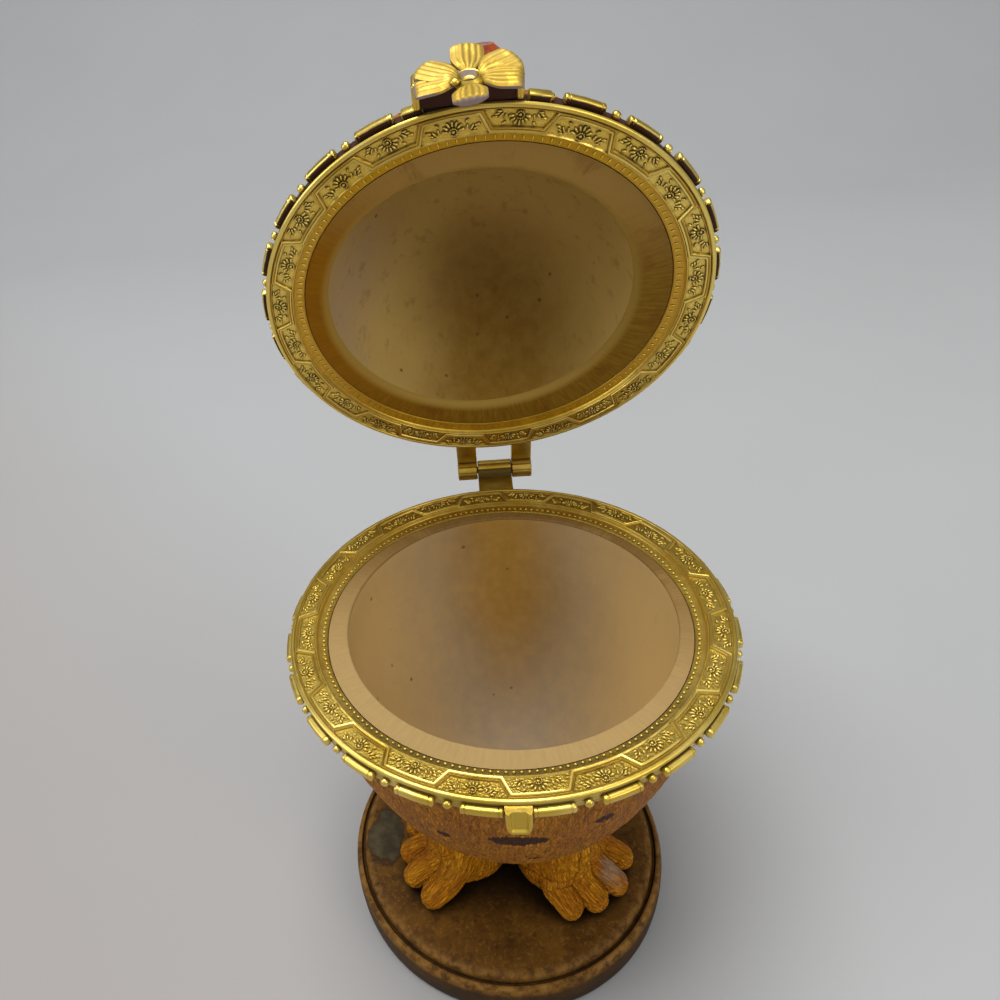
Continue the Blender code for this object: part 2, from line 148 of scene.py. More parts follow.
class Paint(Nodes):
    """Nodes of one material."""

    def __init__(self, name):
        self.mat = bpy.data.materials.new(name)
        self.mat.use_nodes = True
        super().__init__(self.mat.node_tree)

    def attribute(self, name, out="Fac"):
        return self.node("ShaderNodeAttribute", attribute_name=name, attribute_type="GEOMETRY")[out]

    def rest(self, value):
        return self.math("SUBTRACT", 1.0, value)

    def swing(self, value, reach):
        """A noise value moved from about a half to about nought, times the reach."""
        return self.times(self.math("SUBTRACT", value, 0.5), reach)

    def vector(self, op, *values):
        made = self.node("ShaderNodeVectorMath", enumerate(values), operation=op)
        return made["Value" if op in ("LENGTH", "DISTANCE", "DOT_PRODUCT") else "Vector"]

    def level(self, place):
        """The place with its height set to nought."""
        return self.vector("MULTIPLY", place, (1.0, 1.0, 0.0))

    def noise(self, place, scale, detail=3.0, rough=0.55):
        """Noise; a scale in three parts stretches it."""
        if isinstance(scale, tuple):
            place, scale = self.node("ShaderNodeMapping", {"Vector": place, "Scale": scale})[0], 1.0
        inputs = {"Vector": place, "Scale": scale, "Detail": detail, "Roughness": rough}
        return self.node("ShaderNodeTexNoise", inputs)["Fac"]

    def cells(self, place, scale):
        return self.node("ShaderNodeTexVoronoi", {"Vector": place, "Scale": scale})["Distance"]

    def ramp(self, value, low, high, out_low=0.0, out_high=1.0):
        return self.node("ShaderNodeMapRange", enumerate((value, low, high, out_low, out_high)),
                         interpolation_type="SMOOTHSTEP", clamp=True)["Result"]

    def mix(self, factor, a, b):
        """Tone a, with tone b over it by the factor."""
        made = self.tree.nodes.new("ShaderNodeMix")
        made.data_type = "RGBA"
        factor_in, *_, a_in, b_in = (s for s in made.inputs if s.enabled)
        for socket, value in ((factor_in, factor), (a_in, a), (b_in, b)):
            self.feed(socket, value)
        return next(s for s in made.outputs if s.enabled)

    def coats(self, tone, *coats):
        """Further tones over the first, each by its own factor."""
        for factor, colour in coats:
            tone = self.mix(factor, tone, colour)
        return tone

    def crevices(self, distance):
        return self.node("ShaderNodeAmbientOcclusion", {"Distance": distance}, samples=8)["AO"]

    def bump(self, height, distance):
        return self.node("ShaderNodeBump", {"Strength": 1.0, "Distance": distance, "Height": height})[0]

    def finish(self, colour, rough, normal=None, metal=None, **sockets):
        sockets.update({"Base Color": colour, "Roughness": rough, "Normal": normal, "Metallic": metal})
        for key, value in sockets.items():
            self.feed(self.tree.nodes["Principled BSDF"].inputs[key.replace("_", " ")], value)
        return self.mat


# ---- materials

def gilt_paint(name, dark, ground_tone, band_tone, stain, hinge_side_darkening, sides):
    """Bright gilt with stippled panel grounds and brown antiquing in the recesses; painted reflection
    brightens it towards the sides, and it turns a darker brownish gold towards the hinge side.
    """
    p = Paint(name)
    place = p.attribute("shut_place", "Vector")
    radius = p.vector("LENGTH", p.level(place))
    ground = p.times(p.ramp(radius, 28.5 * MM, 28.7 * MM), p.ramp(radius, 31.5 * MM, 31.35 * MM))
    field = p.times(ground, p.attribute("stipple"))
    band = p.times(p.ramp(radius, 28.35 * MM, 28.25 * MM), p.ramp(radius, 20.0 * MM, 22.0 * MM))
    x, y, _ = p.split(place)
    # Painted reflection: the tone is brightened towards the left and right sides, by up to the sides amount.
    aside = p.ramp(p.math("ABSOLUTE", x), 13.0 * MM, 28.0 * MM, 0.0, sides)
    # Darker brownish gold towards the hinge side, in patches.
    far = p.times(p.ramp(y, 4.0 * MM, 31.0 * MM), hinge_side_darkening)
    soft = p.noise(place, 260.0, 2.0)
    relief = p.plus(p.times(p.times(p.cells(place, 3400.0), field), 0.55),
                    p.plus(p.times(p.noise(place, 2600.0), 0.20), p.times(soft, 0.5)))

    wash = p.attribute("wash")
    patchy = p.math("MAXIMUM", p.ramp(p.noise(place, 700.0), 0.30, 0.5), p.ramp(wash, 0.86, 0.93))
    hollow = p.times(p.ramp(p.crevices(0.75 * MM), 0.88, 0.40), stain)
    # Brown antiquing in the recesses and on washed parts; on the lid's bars and on the dark block behind the
    # flower the wash is painted shade.
    antique_and_shade = p.math("MAXIMUM", hollow, p.times(wash, patchy), clamp=True)
    bare = p.ramp(p.plus(p.attribute("bare"), p.swing(soft, 0.8)), 0.45, 0.7)

    tone = p.mix(p.ramp(p.noise(place, 120.0, 2.0), 0.35, 0.65), (0.72, 0.50, 0.075), (0.88, 0.66, 0.165))
    tone = p.coats(tone, (p.times(field, 0.8), ground_tone), (p.times(band, 0.75), band_tone),
                   (aside, (0.97, 0.76, 0.20)),
                   (p.times(far, p.ramp(p.noise(place, 420.0), 0.25, 0.6, 0.4, 1.0)), (0.46, 0.27, 0.025)),
                   (antique_and_shade, dark), (bare, (0.34, 0.25, 0.22)))
    rough = p.plus(p.times(p.plus(p.noise(place, 900.0, 2.0), p.attribute("matt")), 0.16),
                   p.plus(0.25, p.times(antique_and_shade, 0.30)))
    metal = p.rest(p.times(p.math("MAXIMUM", antique_and_shade, bare), 0.55))
    return p.finish(tone, rough, p.bump(relief, 0.07 * MM), metal)


def fur_paint(name, warm, light, deep, across, along, depth):
    """Matt painted fur: fine strokes that follow the carving, dark wash in the grooves, leopard marks."""
    p = Paint(name)
    flow = p.attribute("fur_flow", "Vector")
    cut = 0.5                           # strength of the dark wash

    def strokes(wide, long, detail=2.0, rough=0.55):
        return p.noise(flow, (wide, wide, long), detail, rough)

    def lines(field, width):
        return p.ramp(p.math("ABSOLUTE", p.math("SUBTRACT", field, 0.5)), 0.0, width)

    strand = strokes(across, along, 3.0, 0.6)
    broad = strokes(160.0, 60.0)
    tick = strokes(0.75 * across, 0.5 * along)
    groove = lines(strokes(0.42 * across, 0.42 * along), 0.08)
    hair = lines(strand, 0.10)
    marks = p.ramp(p.plus(p.attribute("leopard"), p.swing(strand, 1.0)), 0.42, 0.58, 0.0, 0.93)
    worn = p.ramp(p.plus(p.attribute("worn"), p.swing(strand, 1.6)), 0.35, 1.0, 0.0, 0.8)
    # Painted shade under the bowl and between the paws, laid where 15 mm occlusion is low.
    shadow = (0.5 * deep[0], 0.4 * deep[1], 0.4 * deep[2])
    tone = p.coats(p.mix(p.ramp(broad, 0.3, 0.7), warm, light),
                   (p.times(p.rest(hair), cut), deep), (p.times(p.rest(groove), cut), deep),
                   (p.ramp(p.crevices(1.6 * MM), 0.75, 0.2, 0.0, 0.85), deep),
                   (p.ramp(tick, 0.56, 0.68, 0.0, cut), deep),
                   (p.ramp(p.crevices(15.0 * MM), 0.46, 0.14, 0.0, 0.92), shadow),
                   (marks, (0.028, 0.004, 0.003)), (worn, (0.42, 0.30, 0.20)))
    normal = p.bump(p.plus(p.times(groove, 0.6), p.times(hair, 0.55)), depth)
    return p.finish(tone, p.plus(0.45, p.times(broad, 0.2)), normal, Specular_IOR_Level=0.14)


def inside_paint(name, shell, core, squash, spread, middle, rim, lighting_tone, lighting_spot, lighting_reach, marks=1.0):
    """Satin lacquer inside a shell, with painted light and shade: a darker core of painted shade, a paler
    surround, and one spot of painted lighting in a tone of its own.
    """
    p = Paint(name)
    place = p.attribute("shut_place", "Vector")
    flat = p.level(p.vector("SUBTRACT", place, (*shell["centre"], 0.0)))
    drift = p.swing(p.noise(place, 55.0, 3.0, 0.5), 9.0 * MM)
    offset = p.vector("MULTIPLY", p.vector("SUBTRACT", flat, (*core, 0.0)), (1.0, squash, 0.0))
    reach = p.plus(p.vector("LENGTH", offset), drift)
    nearby = p.plus(p.vector("DISTANCE", flat, (*lighting_spot, 0.0)), drift)
    mottle = p.noise(place, 420.0, 4.0, 0.6)
    brushed = p.noise(place, (520.0, 520.0, 170.0), 4.0, 0.7)
    streak = p.noise(place, (1500.0, 90.0, 90.0), 2.0)
    scratch = p.times(p.ramp(streak, 0.735, 0.76), p.ramp(p.noise(place, 90.0), 0.55, 0.65))
    # Painted shade: darker towards the core, paler towards the rim; then one spot of painted lighting.
    tone = p.coats(p.mix(p.ramp(reach, 4.0 * MM, spread), middle, rim),
                   (p.ramp(nearby, lighting_reach, 2.0 * MM), lighting_tone),
                   (p.ramp(mottle, 0.3, 0.75, 0.0, 0.16), (rim[0] * 1.12, rim[1] * 1.1, rim[2])),
                   (p.ramp(brushed, 0.54, 0.70, 0.0, 0.3 * marks),
                    (0.5 * middle[0], 0.5 * middle[1], 0.3 * middle[2])),
                   (p.ramp(p.cells(place, 165.0), 0.075, 0.03, 0.0, 0.75), (0.13, 0.065, 0.02)),
                   (p.times(scratch, 0.3), (0.62, 0.52, 0.40)))
    normal = p.bump(p.plus(p.noise(place, 240.0), p.times(brushed, 0.5 * marks)), 0.05 * MM)
    return p.finish(tone, p.plus(0.46, p.times(mottle, 0.18)), normal, Specular_IOR_Level=0.15)


def ledge_paint(name, shell, way, pale, deep, stain, far_pale, far_deep, blots, front=None, edge=None):
    """Lacquered cut edge with fine brush marks that run outwards; its tones change along the way given."""
    p = Paint(name)
    place = p.attribute("shut_place", "Vector")
    flat = p.level(p.vector("SUBTRACT", place, (*shell["centre"], 0.0)))
    x, y, _ = p.split(flat)
    reach = p.vector("LENGTH", flat)
    polar = p.place(p.times(p.math("ARCTAN2", y, x), 60.0), p.times(reach, 260.0))
    brush = p.noise(polar, 1.0, 4.0, 0.7)
    fine = p.noise(polar, (4.0, 1.0, 1.0), 3.0, 0.6)
    blot = p.times(p.ramp(p.noise(place, 150.0), 0.56, 0.68), p.ramp(fine, 0.35, 0.6))
    across = p.ramp(p.vector("DOT_PRODUCT", flat, way), -20.0 * MM, 20.0 * MM)
    tone = p.mix(p.ramp(brush, 0.30, 0.70), p.mix(across, deep, far_deep), p.mix(across, pale, far_pale))
    if front:
        facing = p.vector("DOT_PRODUCT", flat, (0.2, -1.0, 0.0))
        tone = p.mix(p.ramp(facing, 6.0 * MM, 24.0 * MM, 0.0, 0.85), tone, front)
    tone = p.coats(tone, (p.ramp(fine, 0.58, 0.72, 0.0, 0.25), deep), (p.times(blot, blots), stain))
    if edge:
        tone = p.mix(p.ramp(reach, shell["mouth"] + 1.5 * MM, shell["mouth"] - 0.2 * MM), tone, edge)
    return p.finish(tone, 0.5, p.bump(p.plus(brush, fine), 0.03 * MM), Specular_IOR_Level=0.1)


def bronze_paint():
    """Mottled antique bronze paint: grainy browns, a dark groove, lighter bands on the edges and one worn
    patch, with painted shade under the bowl and on the side below the top edge.
    """
    p = Paint("antique_bronze")
    place = p.attribute("shut_place", "Vector")
    grain = p.noise(place, 1500.0, 4.0, 0.7)
    fleck = p.noise(place, 620.0, 3.0, 0.6)
    away = p.vector("MULTIPLY", p.vector("SUBTRACT", place, (-24.6 * MM, -1.1 * MM, 0.0)),
                    (1.0 / (3.1 * MM), 1.0 / (5.2 * MM), 0.0))
    ragged = p.plus(p.times(p.vector("LENGTH", away), -0.5),
                    p.plus(1.0, p.swing(p.noise(place, 330.0, 4.0), 0.7)))
    upper_side = p.attribute("upper_side")
    bare = p.times(p.ramp(ragged, 0.46, 0.53), upper_side)
    rim = p.times(p.ramp(ragged, 0.40, 0.46), p.ramp(ragged, 0.53, 0.48))
    drab = p.mix(p.ramp(p.noise(place, 480.0), 0.35, 0.7), (0.046, 0.034, 0.015), (0.088, 0.068, 0.032))
    tone = p.mix(p.ramp(p.noise(place, 130.0, 5.0, 0.65), 0.28, 0.72), (0.082, 0.033, 0.004),
                 (0.165, 0.072, 0.008))
    tone = p.coats(tone, (p.ramp(grain, 0.48, 0.75, 0.0, 0.65), (0.29, 0.145, 0.022)),
                   (p.ramp(fleck, 0.48, 0.32, 0.0, 0.5), (0.040, 0.018, 0.006)),
                   (p.times(p.attribute("lighter_bands"), p.ramp(fleck, 0.40, 0.66)), (0.27, 0.135, 0.030)),
                   (p.ramp(p.crevices(1.3 * MM), 0.8, 0.4, 0.0, 0.85), (0.020, 0.010, 0.005)),
                   # Painted shade under the bowl and between the paws, from 17 mm occlusion.
                   (p.ramp(p.crevices(17.0 * MM), 0.72, 0.34, 0.0, 0.96), (0.006, 0.003, 0.001)),
                   # Painted shade on the base's side, below the upper edge.
                   (p.times(p.rest(upper_side), 0.65), (0.020, 0.009, 0.002)),
                   (bare, drab), (p.times(rim, 0.6), (0.02, 0.010, 0.005)))
    height = p.plus(p.times(grain, 0.35), p.math("SUBTRACT", fleck, p.times(bare, 0.5)))
    return p.finish(tone, p.plus(0.42, p.times(grain, 0.3)), p.bump(height, 0.09 * MM),
                    p.times(p.rest(bare), 0.15), Specular_IOR_Level=0.16)


def stone_paint():
    p = Paint("amber_crystal")
    cloud = p.ramp(p.noise(p.attribute("shut_place", "Vector"), 380.0), 0.50, 0.66)
    tone = p.mix(cloud, (0.10, 0.004, 0.003), (0.34, 0.060, 0.008))
    return p.finish(tone, 0.10, IOR=1.45, Specular_IOR_Level=0.35)


# ---- mesh helpers

def in_mm(points):
    return [tuple(value * MM for value in point) for point in points]


def new_object(name, data):
    made = bpy.data.objects.new(name, data)
    bpy.context.scene.collection.objects.link(made)
    return made


def coated(item, *mats):
    for mat in mats:
        item.data.materials.append(mat)
    return item


def from_bmesh(name, bm):
    """Object of the mesh, with every face turned outwards."""
    bmesh.ops.recalc_face_normals(bm, faces=bm.faces)
    mesh = bpy.data.meshes.new(name)
    bm.to_mesh(mesh)
    bm.free()
    return new_object(name, mesh)


def from_points(name, points, faces):
    plain = bpy.data.meshes.new("plain")
    plain.from_pydata([tuple(p) for p in points], [], faces)
    bm = bmesh.new()
    bm.from_mesh(plain)
    bpy.data.meshes.remove(plain)
    return from_bmesh(name, bm)


def run_along(profile):
    """The way along a profile at each of its points."""
    runs = [0.0]
    for a, b in zip(profile, profile[1:]):
        runs.append(runs[-1] + dist(a, b))
    return runs


def turned(name, profile, segments, centre=(0.0, 0.0), relief=None):
    """Turn a profile of (radius, height) about the vertical; its ends close on the axis or on each other.

    relief(angle, run) moves a point along the profile's outward side; run is the way along the profile.
    """
    on_axis = profile[0][0] < 1e-9 and profile[-1][0] < 1e-9
    runs = run_along(profile)
    points, rings = [], []
    for i, (radius, height) in enumerate(profile):
        if radius < 1e-9:
            rings.append([len(points)])
            points.append((*centre, height))
            continue
        before = profile[i - 1] if i or not on_axis else profile[i]
        after = profile[(i + 1) % len(profile)]
        run = Vector((after[0] - before[0], after[1] - before[1]))
        side = Vector((run.y, -run.x)).normalized()
        rings.append(list(range(len(points), len(points) + segments)))
        for k in range(segments):
            angle = TAU * k / segments
            push = relief(angle, runs[i]) if relief else 0.0
            r = radius + side.x * push
            points.append((centre[0] + r * cos(angle), centre[1] + r * sin(angle),
                           height + side.y * push))
    faces = []
    for low, high in list(zip(rings, rings[1:])) + ([] if on_axis else [(rings[-1], rings[0])]):
        for k in range(segments):
            n = (k + 1) % segments
            if len(low) == 1:
                faces.append((low[0], high[n], high[k]))
            elif len(high) == 1:
                faces.append((low[k], low[n], high[0]))
            else:
                faces.append((low[k], low[n], high[n], high[k]))
    return from_points(name, points, faces)


def padded_faces(rows, wide):
    """Faces of a thin solid whose front and back are grids of rows by wide points, front first."""
    back, last = rows * wide, wide - 1
    faces = []
    for i in range(rows - 1):
        for j in range(last):
            a = i * wide + j
            faces.append((a, a + wide, a + wide + 1, a + 1))
            faces.append((back + a, back + a + 1, back + a + wide + 1, back + a + wide))
    loop = list(range(wide)) + [i * wide + last for i in range(1, rows)]
    loop += [(rows - 1) * wide + j for j in range(last - 1, -1, -1)]
    loop += [i * wide for i in range(rows - 2, 0, -1)]
    return faces + [(a, b, back + b, back + a) for a, b in zip(loop, loop[1:] + loop[:1])]


def applied(item):
    """Plain mesh of the object with its modifiers taken in."""
    bpy.context.view_layer.update()
    graph = bpy.context.evaluated_depsgraph_get()
    mesh = bpy.data.meshes.new_from_object(item.evaluated_get(graph))
    item.modifiers.clear()
    old = item.data
    item.data = mesh
    bpy.data.meshes.remove(old)
    return item


def combined(target, tool, operation):
    cut = target.modifiers.new("cut", "BOOLEAN")
    cut.operation = operation
    cut.solver = "MANIFOLD"
    cut.object = tool
    applied(target)
    bpy.data.objects.remove(tool, do_unlink=True)


def joined(name, items):
    """One object from several; attributes of the same name stay together."""
    target = items[0]
    with bpy.context.temp_override(active_object=target, selected_editable_objects=items, object=target,
                                   selected_objects=items):
        bpy.ops.object.join()
    target.name = name
    target.data.name = name
    return target


def points_of(mesh, key="co"):
    """The vertices' places, or their normals."""
    out = np.zeros(len(mesh.vertices) * 3, np.float32)
    mesh.vertices.foreach_get(key, out)
    return out.reshape(-1, 3)


def move_points(mesh, places):
    mesh.vertices.foreach_set("co", places.astype(np.float32).ravel())
    mesh.update()


def store(mesh, name, values):
    """Point attribute, a number or a vector for each vertex."""
    values = np.asarray(values, np.float32)
    kind, key = ("FLOAT", "value") if values.ndim == 1 else ("FLOAT_VECTOR", "vector")
    made = mesh.attributes.get(name) or mesh.attributes.new(name, kind, "POINT")
    made.data.foreach_set(key, values.ravel())


def dressed(item, crease=32.0, **numbers):
    """Store the shut place and the other attributes, and smooth the shading."""
    mesh = item.data
    store(mesh, "shut_place", points_of(mesh))
    for name in ("wash", "stipple", "bare", "matt"):
        store(mesh, name, np.full(len(mesh.vertices), numbers.get(name, 0.0)))
    mesh.shade_smooth()
    mesh.set_sharp_from_angle(angle=radians(crease))
    return item


def opened(item):
    item.data.transform(TO_LID)
    return item


def settle(item, body, slot_name, *nodes):
    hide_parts(*nodes)
    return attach(item, body)


def ball(bm, matrix, sides, rings):
    bmesh.ops.create_uvsphere(bm, u_segments=sides, v_segments=rings, radius=1.0, matrix=matrix)


def balls(name, centres, radii, sides=16, rings=9):
    """One mesh of many plain spheres."""
    unit, faces = [(0.0, 0.0, -1.0)], []
    for i in range(1, rings):
        a = pi * (i / rings - 0.5)
        unit += [(cos(a) * cos(TAU * k / sides), cos(a) * sin(TAU * k / sides), sin(a)) for k in range(sides)]
    unit.append((0.0, 0.0, 1.0))
    last = len(unit) - 1
    for k in range(sides):
        n = (k + 1) % sides
        faces += [(0, 1 + n, 1 + k), (last, last - sides + k, last - sides + n)]
        for low in range(1, 1 + (rings - 2) * sides, sides):
            faces.append((low + k, low + n, low + sides + n, low + sides + k))
    count, unit = len(unit), np.array(unit)
    points = np.concatenate([np.array(c) + unit * r for c, r in zip(centres, radii)])
    faces = [tuple(v + count * i for v in face) for i in range(len(radii)) for face in faces]
    return from_points(name, points.tolist(), faces)


def spot(x, y, z, size, turn=0.0, lean=0.0):
    """Placement of an ellipsoid: its centre in mm, half sizes in mm, turned about Z."""
    return (Matrix.Translation((x * MM, y * MM, z * MM)) @ Matrix.Rotation(turn, 4, "Z")
            @ Matrix.Rotation(lean, 4, "Y") @ Matrix.Diagonal((*(half * MM for half in size), 1.0)))


def lump(name, matrix, sides, rings):
    """Ellipsoid as an object of its own."""
    bm = bmesh.new()
    ball(bm, matrix, sides, rings)
    return from_bmesh(name, bm)


def block(name, low, high, bevel, segments=2):
    """Box between two corners with rounded edges."""
    size = Vector(high) - Vector(low)
    middle = (Vector(high) + Vector(low)) / 2.0
    bm = bmesh.new()
    bmesh.ops.create_cube(bm, size=1.0, matrix=Matrix.Translation(middle) @ Matrix.Diagonal((*size, 1.0)))
    bmesh.ops.bevel(bm, geom=bm.edges[:], offset=bevel, segments=segments, affect="EDGES", profile=0.5)
    return from_bmesh(name, bm)


# ---- repeats round a rim

def repeat_tree():
    """Geometry Nodes: the unit mesh set round the egg's axis, from a first angle by equal steps."""
    tree = bpy.data.node_groups.new("round_the_rim", "GeometryNodeTree")
    for name, kind in (("Unit", "Geometry"), ("Count", "Int"), ("First angle", "Float"),
                       ("Step angle", "Float"), ("Radius", "Float"), ("Height", "Float"),
                       ("Finish", "Material")):
        tree.interface.new_socket(name, in_out="INPUT", socket_type="NodeSocket" + kind)
    tree.interface.new_socket("Ring", in_out="OUTPUT", socket_type="NodeSocketGeometry")

    n = Nodes(tree)
    given = n.node("NodeGroupInput")
    index = n.node("GeometryNodeInputIndex")[0]
    angle = n.plus(given["First angle"], n.times(index, given["Step angle"]))
    along, across = (n.times(n.math(op, angle), given["Radius"]) for op in ("COSINE", "SINE"))
    place, turn = n.place(along, across, given["Height"]), n.place(0.0, 0.0, angle)
    dots = n.node("GeometryNodePoints", {"Count": given["Count"], "Position": place})[0]
    copies = n.node("GeometryNodeInstanceOnPoints",
                    {"Points": dots, "Instance": given["Unit"], "Rotation": turn})[0]
    real = n.node("GeometryNodeRealizeInstances", {0: copies})[0]
    finish = n.node("GeometryNodeSetMaterial", {"Geometry": real, "Material": given["Finish"]})[0]
    n.node("NodeGroupOutput", {0: finish})
    return tree


def round_rim(unit, mat, count, first, step, radius, height):
    """Repeat the unit round the rim with the tree above."""
    repeat = unit.modifiers.new("round_the_rim", "NODES")
    repeat.node_group = REPEAT
    values = {"Count": count, "First angle": float(first), "Step angle": step, "Radius": radius,
              "Height": height, "Finish": mat}
    for socket in REPEAT.interface.items_tree:
        if socket.in_out == "INPUT" and socket.name in values:
            repeat[socket.identifier] = values[socket.name]
    return applied(unit)


# ---- rims

def border_line(phase, swap):
    """Centre line of the raised border, which zigzags between the panels' two edges."""
    corners = []
    for k in range(PANELS):
        sign = 1.0 if (k % 2 == 0) != swap else -1.0
        angle = phase + k * STEP
        ends = [(BORDER_OUTER, angle - sign * SLANT_OUTER), (BORDER_INNER, angle + sign * SLANT_INNER)]
        corners += ends if sign > 0 else ends[::-1]
    line = []
    for k, (radius, angle) in enumerate(corners):
        after = corners[(k + 1) % len(corners)]
        reach = (after[1] - angle) % TAU
        line.append((radius, angle))
        if abs(after[0] - radius) < 1e-6:       # along an edge the border is curved
            line += [(radius, angle + reach * t / 8.0) for t in range(1, 8)]
    return [Vector((r * cos(a), r * sin(a), 0.0)) for r, a in line]


def zigzag_border(phase, swap, base):
    """Double ridge swept along the border line."""
    line = border_line(phase, swap)
    ridge = [(-0.37, -0.14), (-0.34, 0.14), (-0.26, 0.27), (-0.10, 0.25)]
    section = ridge + [(0.0, 0.13)] + [(-across, up) for across, up in ridge[::-1]]
    points, faces, count, wide = [], [], len(line), len(section)
    for k, here in enumerate(line):
        into = (here - line[k - 1]).normalized()
        out = (line[(k + 1) % count] - here).normalized()
        across = (into + out).normalized()
        across = Vector((across.y, -across.x, 0.0))
        stretch = 1.0 / max(0.45, Vector((into.y, -into.x, 0.0)).dot(across))
        points += [here + across * (w * stretch * MM) + Vector((0.0, 0.0, base + h * MM)) for w, h in section]
        n = (k + 1) % count
        for c in range(wide):
            d = (c + 1) % wide
            faces.append((k * wide + c, k * wide + d, n * wide + d, n * wide + c))
    return from_points("border", points, faces)


def panel_flower(towards):
    """Half daisy at the open side of a panel with a leaf spray on either hand; towards is +1 outwards."""
    bm = bmesh.new()
    base = 0.02

    def facing(angle):
        return angle if towards > 0 else pi - angle

    def leaf(x, y, angle, length, width, height):
        """Rounded leaf lying from (x, y) mm along the angle."""
        middle = (x + 0.5 * length * cos(angle), y + 0.5 * length * sin(angle))
        ball(bm, spot(*middle, base, (0.5 * length, 0.5 * width, height), angle), 10, 6)

    heart = 0.30 * towards
    ball(bm, spot(heart, 0.0, base, (0.24, 0.24, 0.34)), 12, 6)
    for k in range(9):                  # ring round the eye, open on one side
        a = radians(-70.0 + 35.0 * k)
        ball(bm, spot(heart + 0.44 * cos(a), 0.44 * sin(a), base, (0.12, 0.17, 0.34), a), 8, 5)
    for k in range(7):
        a = facing(radians(-81.0 + 27.0 * k))
        leaf(heart + 0.58 * cos(a), 0.58 * sin(a), a, 0.86, 0.37, 0.36)
    for hand in (-1.0, 1.0):
        for along, out, tilt, length in ((1.62, 0.20, 14.0, 0.80), (1.95, 0.10, 40.0, 0.95),
                                         (2.30, 0.10, 62.0, 0.80), (2.52, 0.55, 74.0, 0.85),
                                         (2.1, -0.02, 92.0, 0.70), (1.55, 1.15, 48.0, 0.65)):
            leaf(out * towards, hand * along, facing(radians(tilt) * hand), length, 0.33, 0.33)
    return from_bmesh("daisy", bm)


def bar_unit():
    """Rounded bar that follows the rim's curve, with a notch near each end."""
    end = [(1.0, 0.40), (0.985, 0.72), (0.95, 0.93), (0.90, 1.0), (0.80, 1.0), (0.775, 0.84), (0.74, 0.84),
           (0.715, 0.98)]
    stations = [(-along, size) for along, size in end] + [(0.0, 1.0)] + end[::-1]
    points, faces, sides = [], [], 16
    for i, (along, size) in enumerate(stations):
        turn = along * BAR_LENGTH / 2.0 / BAR_RADIUS
        for k in range(sides):
            c, d = cos(TAU * k / sides), sin(TAU * k / sides)
            radius = BAR_RADIUS + 0.55 * MM * size * copysign(abs(c) ** 0.75, c)
            level = 0.66 * MM * size * copysign(abs(d) ** 0.75, d)
            points.append((radius * cos(turn), radius * sin(turn), level))
            if i:
                n, before, here = (k + 1) % sides, (i - 1) * sides, i * sides
                faces.append((before + k, here + k, here + n, before + n))
    faces.append(tuple(range(sides)))
    faces.append(tuple(range(len(points) - 1, len(points) - 1 - sides, -1)))
    return from_points("bar", points, faces)


RIM_PROFILE = [(26.78, -2.55), (26.78, -1.42), (26.84, -1.30), (26.98, -1.22), (27.16, -1.17), (27.9, -1.02),
               (28.20, -0.90), (28.31, -0.70), (28.36, -0.36), (28.43, -0.22), (28.52, -0.22), (28.60, -0.34),
               (28.68, -0.40), (31.38, -0.40), (31.44, -0.30), (31.49, -0.16), (31.56, -0.14), (31.62, -0.22),
               (31.68, -0.10), (31.78, -0.01), (31.95, 0.0), (32.12, -0.06), (32.25, -0.20), (32.30, -0.38),
               (32.24, -0.56), (32.08, -0.68), (31.92, -0.80), (31.88, -1.02), (31.94, -1.10), (32.02, -1.20),
               (32.02, -2.28), (31.95, -2.40), (31.90, -2.55)]


def rim_ring(wash, band_wash):
    """Turned body of a rim, its stippled panel ground and its antiqued outer wall."""
    ring = turned("rim", [(r * MM, RIM_FACE + h * MM) for r, h in RIM_PROFILE], 288)
    dressed(ring, stipple=1.0)
    co = points_of(ring.data)
    radius = np.hypot(co[:, 0], co[:, 1])
    low = (RIM_FACE - co[:, 2]) / MM
    # The inner band's wash is heaviest at the front and thins to 0.15 of it towards the sides and back.
    side = np.clip((-6.0 - co[:, 1] / MM) / 12.0, 0.15, 1.0)
    band = (radius > 26.8 * MM) & (radius < 28.33 * MM)
    wall = (low > 1.05) & (radius > 31.85 * MM)
    store(ring.data, "wash", np.maximum(wall * wash, band * band_wash * side))
    return ring


def gilt_rim(name, gilt, phase, swap, runs, turn, wash, band_wash, bar_wash_and_shade, beads):
    """Whole rim in the lower rim's place: ring, border, daisies, beads, bars and studs."""
    ring = coated(rim_ring(wash, band_wash), gilt)
    trims = [coated(zigzag_border(phase, swap, RIM_FACE - 0.30 * MM), gilt)]
    for first in (0, 1):
        towards, radius = (-1.0, 31.05 * MM) if (first == 0) != swap else (1.0, 28.98 * MM)
        trims.append(round_rim(panel_flower(towards), gilt, PANELS // 2, phase + (first + 0.5) * STEP,
                               2.0 * STEP, radius, RIM_FACE - 0.40 * MM))
    size, count, radius = beads
    bead = lump("bead", spot(0.0, 0.0, 0.0, size), 8, 5)
    trims.append(round_rim(bead, gilt, count, phase, TAU / count, radius * MM, RIM_FACE - 1.02 * MM))
    for start, count in runs:
        trims.append(round_rim(bar_unit(), gilt, count, (start + 0.5) * STEP + turn, STEP, 0.0, BAR_LEVEL))
    for start, count in STUD_RUNS:
        stud = lump("stud", spot(0.0, 0.0, 0.0, (0.52, 0.60, 0.60)), 12, 8)
        trims.append(round_rim(stud, gilt, count, start * STEP + turn, STEP, STUD_RADIUS, BAR_LEVEL))
    for trim in trims:
        dressed(trim, crease=50.0)
        if trim.name.startswith("bar"):
            # On the lid's bars the wash on the faces towards the parting plane is antique wash and painted
            # shade.
            store(trim.data, "wash", (points_of(trim.data, "normal")[:, 2] > 0.8) * bar_wash_and_shade)
    return joined(name, [ring, *trims])


